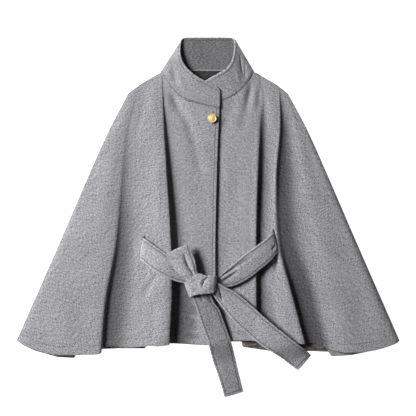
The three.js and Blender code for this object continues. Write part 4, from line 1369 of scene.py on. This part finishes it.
# %% One turn of belt over the core
KNOT_WRAP = [
    # upper x, y, z, lower x, y, z
    (-56, -156, 22, -43, -190.5, 20),
    (-50, -154, 29, -41, -188.6, 26),
    (-43, -151, 32.6, -38, -186.4, 30.4),
    (-30, -139, 33.8, -28, -183, 33),
    (-19, -134.4, 34.4, -14, -181, 34),
    (-8, -139, 35, -2, -180, 34.4),
    (6, -139.4, 35.2, 7, -179.2, 34.4),
    (15, -139.8, 34.4, 12.6, -178.2, 33.4),
    (19.6, -140.6, 30.6, 15.8, -176.6, 29.4),
    (19, -141.6, 18, 14.6, -175, 18),
]
KNOT_CREASES = [
    (2, -141, -9, -150, 2.2, -3.0),
    (-8, -148, -13, -164, 2.4, -2.8),
    (-16, -142, -20, -166, 3.6, 1.6),
    (-46, -158, -28, -150, 4.0, -1.4),
    (-44, -180, -16, -170, 5.0, -1.0),
    (-24, -172, 6, -168, 9.0, 2.0),
    (4, -150, 3, -172, 5.0, 1.2),
]

knot_grid = band_grid(KNOT_WRAP, KNOT_CREASES)
knot_numbers = {"edge": np.full(knot_grid.shape[:2], NO_EDGE), "bias": np.zeros(knot_grid.shape[:2])}
knot_cloth = make_cloth("knot_cloth", knot_grid, BELT_CLOTH, belt_wools["belt_knot"], numbers=knot_numbers,
                        lowest=not_below(0.0))
declare(knot_cloth, knot_grid, "belt_knot")

# %% [markdown]
# ## The button
# The button is turned metal with a raised rim, and a plain ring of lobes stands in for its worn relief. It sits
# on a shank, a short stem with an eye for the thread, so it stands a little off the cloth.

# %% A turned button
BUTTON_X, BUTTON_Y, BUTTON_CLOTH_TOP = 9.6, 237.6, 16.2
BUTTON_RADIUS, SHANK_RADIUS, SHANK_HEIGHT = 10.5, 2.6, 1.8
BUTTON_SIDES = 128
RIM_PROFILE = [
    # in from the edge, up from the shank
    (0.7, 0.0),
    (0.2, 0.25),
    (0.0, 0.7),
    (0.0, 1.7),
    (0.25, 2.05),
    (0.6, 2.2),
    (1.0, 2.2),
    (1.35, 2.0),
    (1.7, 1.6),
    (2.2, 1.55),
]
DOME_INSET, DOME_FOOT, DOME_RISE, DOME_RINGS = 2.4, 1.6, 1.2, 26
LOBES, LOBE_MM, LOBE_WAVES = 8, 0.2, 3
LOBES_FROM, LOBES_INSET = 2.2, 2.6


def button_mesh():
    """A profile of radius and height carried round. The dome's height is a parabola of the radius. Its lobes are a
    cosine of the angle times a sine of the radius, faded out towards the dome's foot."""
    r = BUTTON_RADIUS
    shank = [(0.02, 0), (SHANK_RADIUS, 0), (SHANK_RADIUS, SHANK_HEIGHT)]
    rim = [(r - inset, SHANK_HEIGHT + up) for inset, up in RIM_PROFILE]
    dome = [(part * (r - DOME_INSET), SHANK_HEIGHT + DOME_FOOT + DOME_RISE * (1 - part ** 2))
            for part in np.linspace(0.98, 0.02, DOME_RINGS)]
    radius, height = (np.array(column) for column in zip(*shank, *rim, *dome))
    angle = np.arange(BUTTON_SIDES) / BUTTON_SIDES * 2 * np.pi
    on_dome = np.arange(len(radius)) >= len(radius) - DOME_RINGS
    fade = smoothstep(-radius, -(r - LOBES_INSET), -LOBES_FROM) * on_dome
    lobes = LOBE_MM * (fade * np.sin(radius / r * LOBE_WAVES * np.pi))[:, None] * np.cos(LOBES * angle)[None]
    x = BUTTON_X + radius[:, None] * np.cos(angle)[None]
    y = BUTTON_Y + radius[:, None] * np.sin(angle)[None]
    points = np.stack([x, y, BUTTON_CLOTH_TOP + GAP + height[:, None] + lobes], axis=-1).reshape(-1, 3)
    caps = [list(range(BUTTON_SIDES))[::-1], list(range(len(points) - BUTTON_SIDES, len(points)))]
    return points, ring_quads(len(radius), BUTTON_SIDES).tolist() + caps


button_points, button_faces = button_mesh()
button_metal = make_piece("button_metal", button_points, button_faces, gold)
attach(button_metal, "root")
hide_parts("button")
print("button:", len(button_faces), "faces")

# %% [markdown]
# ## Floor and light
# The photo is a cut-out on white, so the floor is plain and pale, and it gives off some light of its own to come
# out as white as the photo's ground. The folds are bright on their upper left and nearly black in their valleys: a
# broad soft light stands at the upper left, low enough to rake over the cloth, and there is little light from
# elsewhere. Lengths in this cell are in metres.

# %% Floor, soft light and a pale world
FLOOR_HALF = 4
FLOOR_DROP = 0.0003
FLOOR_GLOW = 0.95
KEY_PLACE, KEY_SIZE, KEY_WATTS = (-5.2, 2.3, 3.75), 2.7, 825
WORLD_STRENGTH = 0.05

floor_corners = [(x * FLOOR_HALF, y * FLOOR_HALF, 0) for x, y in ((-1, -1), (1, -1), (1, 1), (-1, 1))]
floor_mesh = bpy.data.meshes.new("floor")
floor_mesh.from_pydata(floor_corners, [], [(0, 1, 2, 3)])
floor = bpy.data.objects.new("floor", floor_mesh)
floor.location = (0, 0, -FLOOR_DROP)
bpy.context.scene.collection.objects.link(floor)
floor_finish = Finish("pale_floor")
floor_mesh.materials.append(floor_finish.close(Base_Color=(0.9, 0.9, 0.9, 1), Roughness=0.9,
                                               Specular_IOR_Level=0.1, Emission_Color=(1, 1, 1, 1),
                                               Emission_Strength=FLOOR_GLOW))


def soft_light(name, place, size, watts):
    """A square area light that faces the coat."""
    data = bpy.data.lights.new(name, "AREA")
    data.size = size
    data.energy = watts
    light = bpy.data.objects.new(name, data)
    light.location = place
    away = np.array(place)
    light.rotation_euler = (math.atan2(math.hypot(away[0], away[1]), away[2]), 0,
                            math.atan2(away[0], -away[1]))
    bpy.context.scene.collection.objects.link(light)
    return light


key = soft_light("key", KEY_PLACE, KEY_SIZE, KEY_WATTS)
world = bpy.data.worlds.new("pale_world")
world.use_nodes = True
world.node_tree.nodes["Background"].inputs["Color"].default_value = (1, 1, 1, 1)
world.node_tree.nodes["Background"].inputs["Strength"].default_value = WORLD_STRENGTH
bpy.context.scene.world = world
print("key light:", KEY_WATTS, "watts,", round(key.location.length, 2), "metres away")
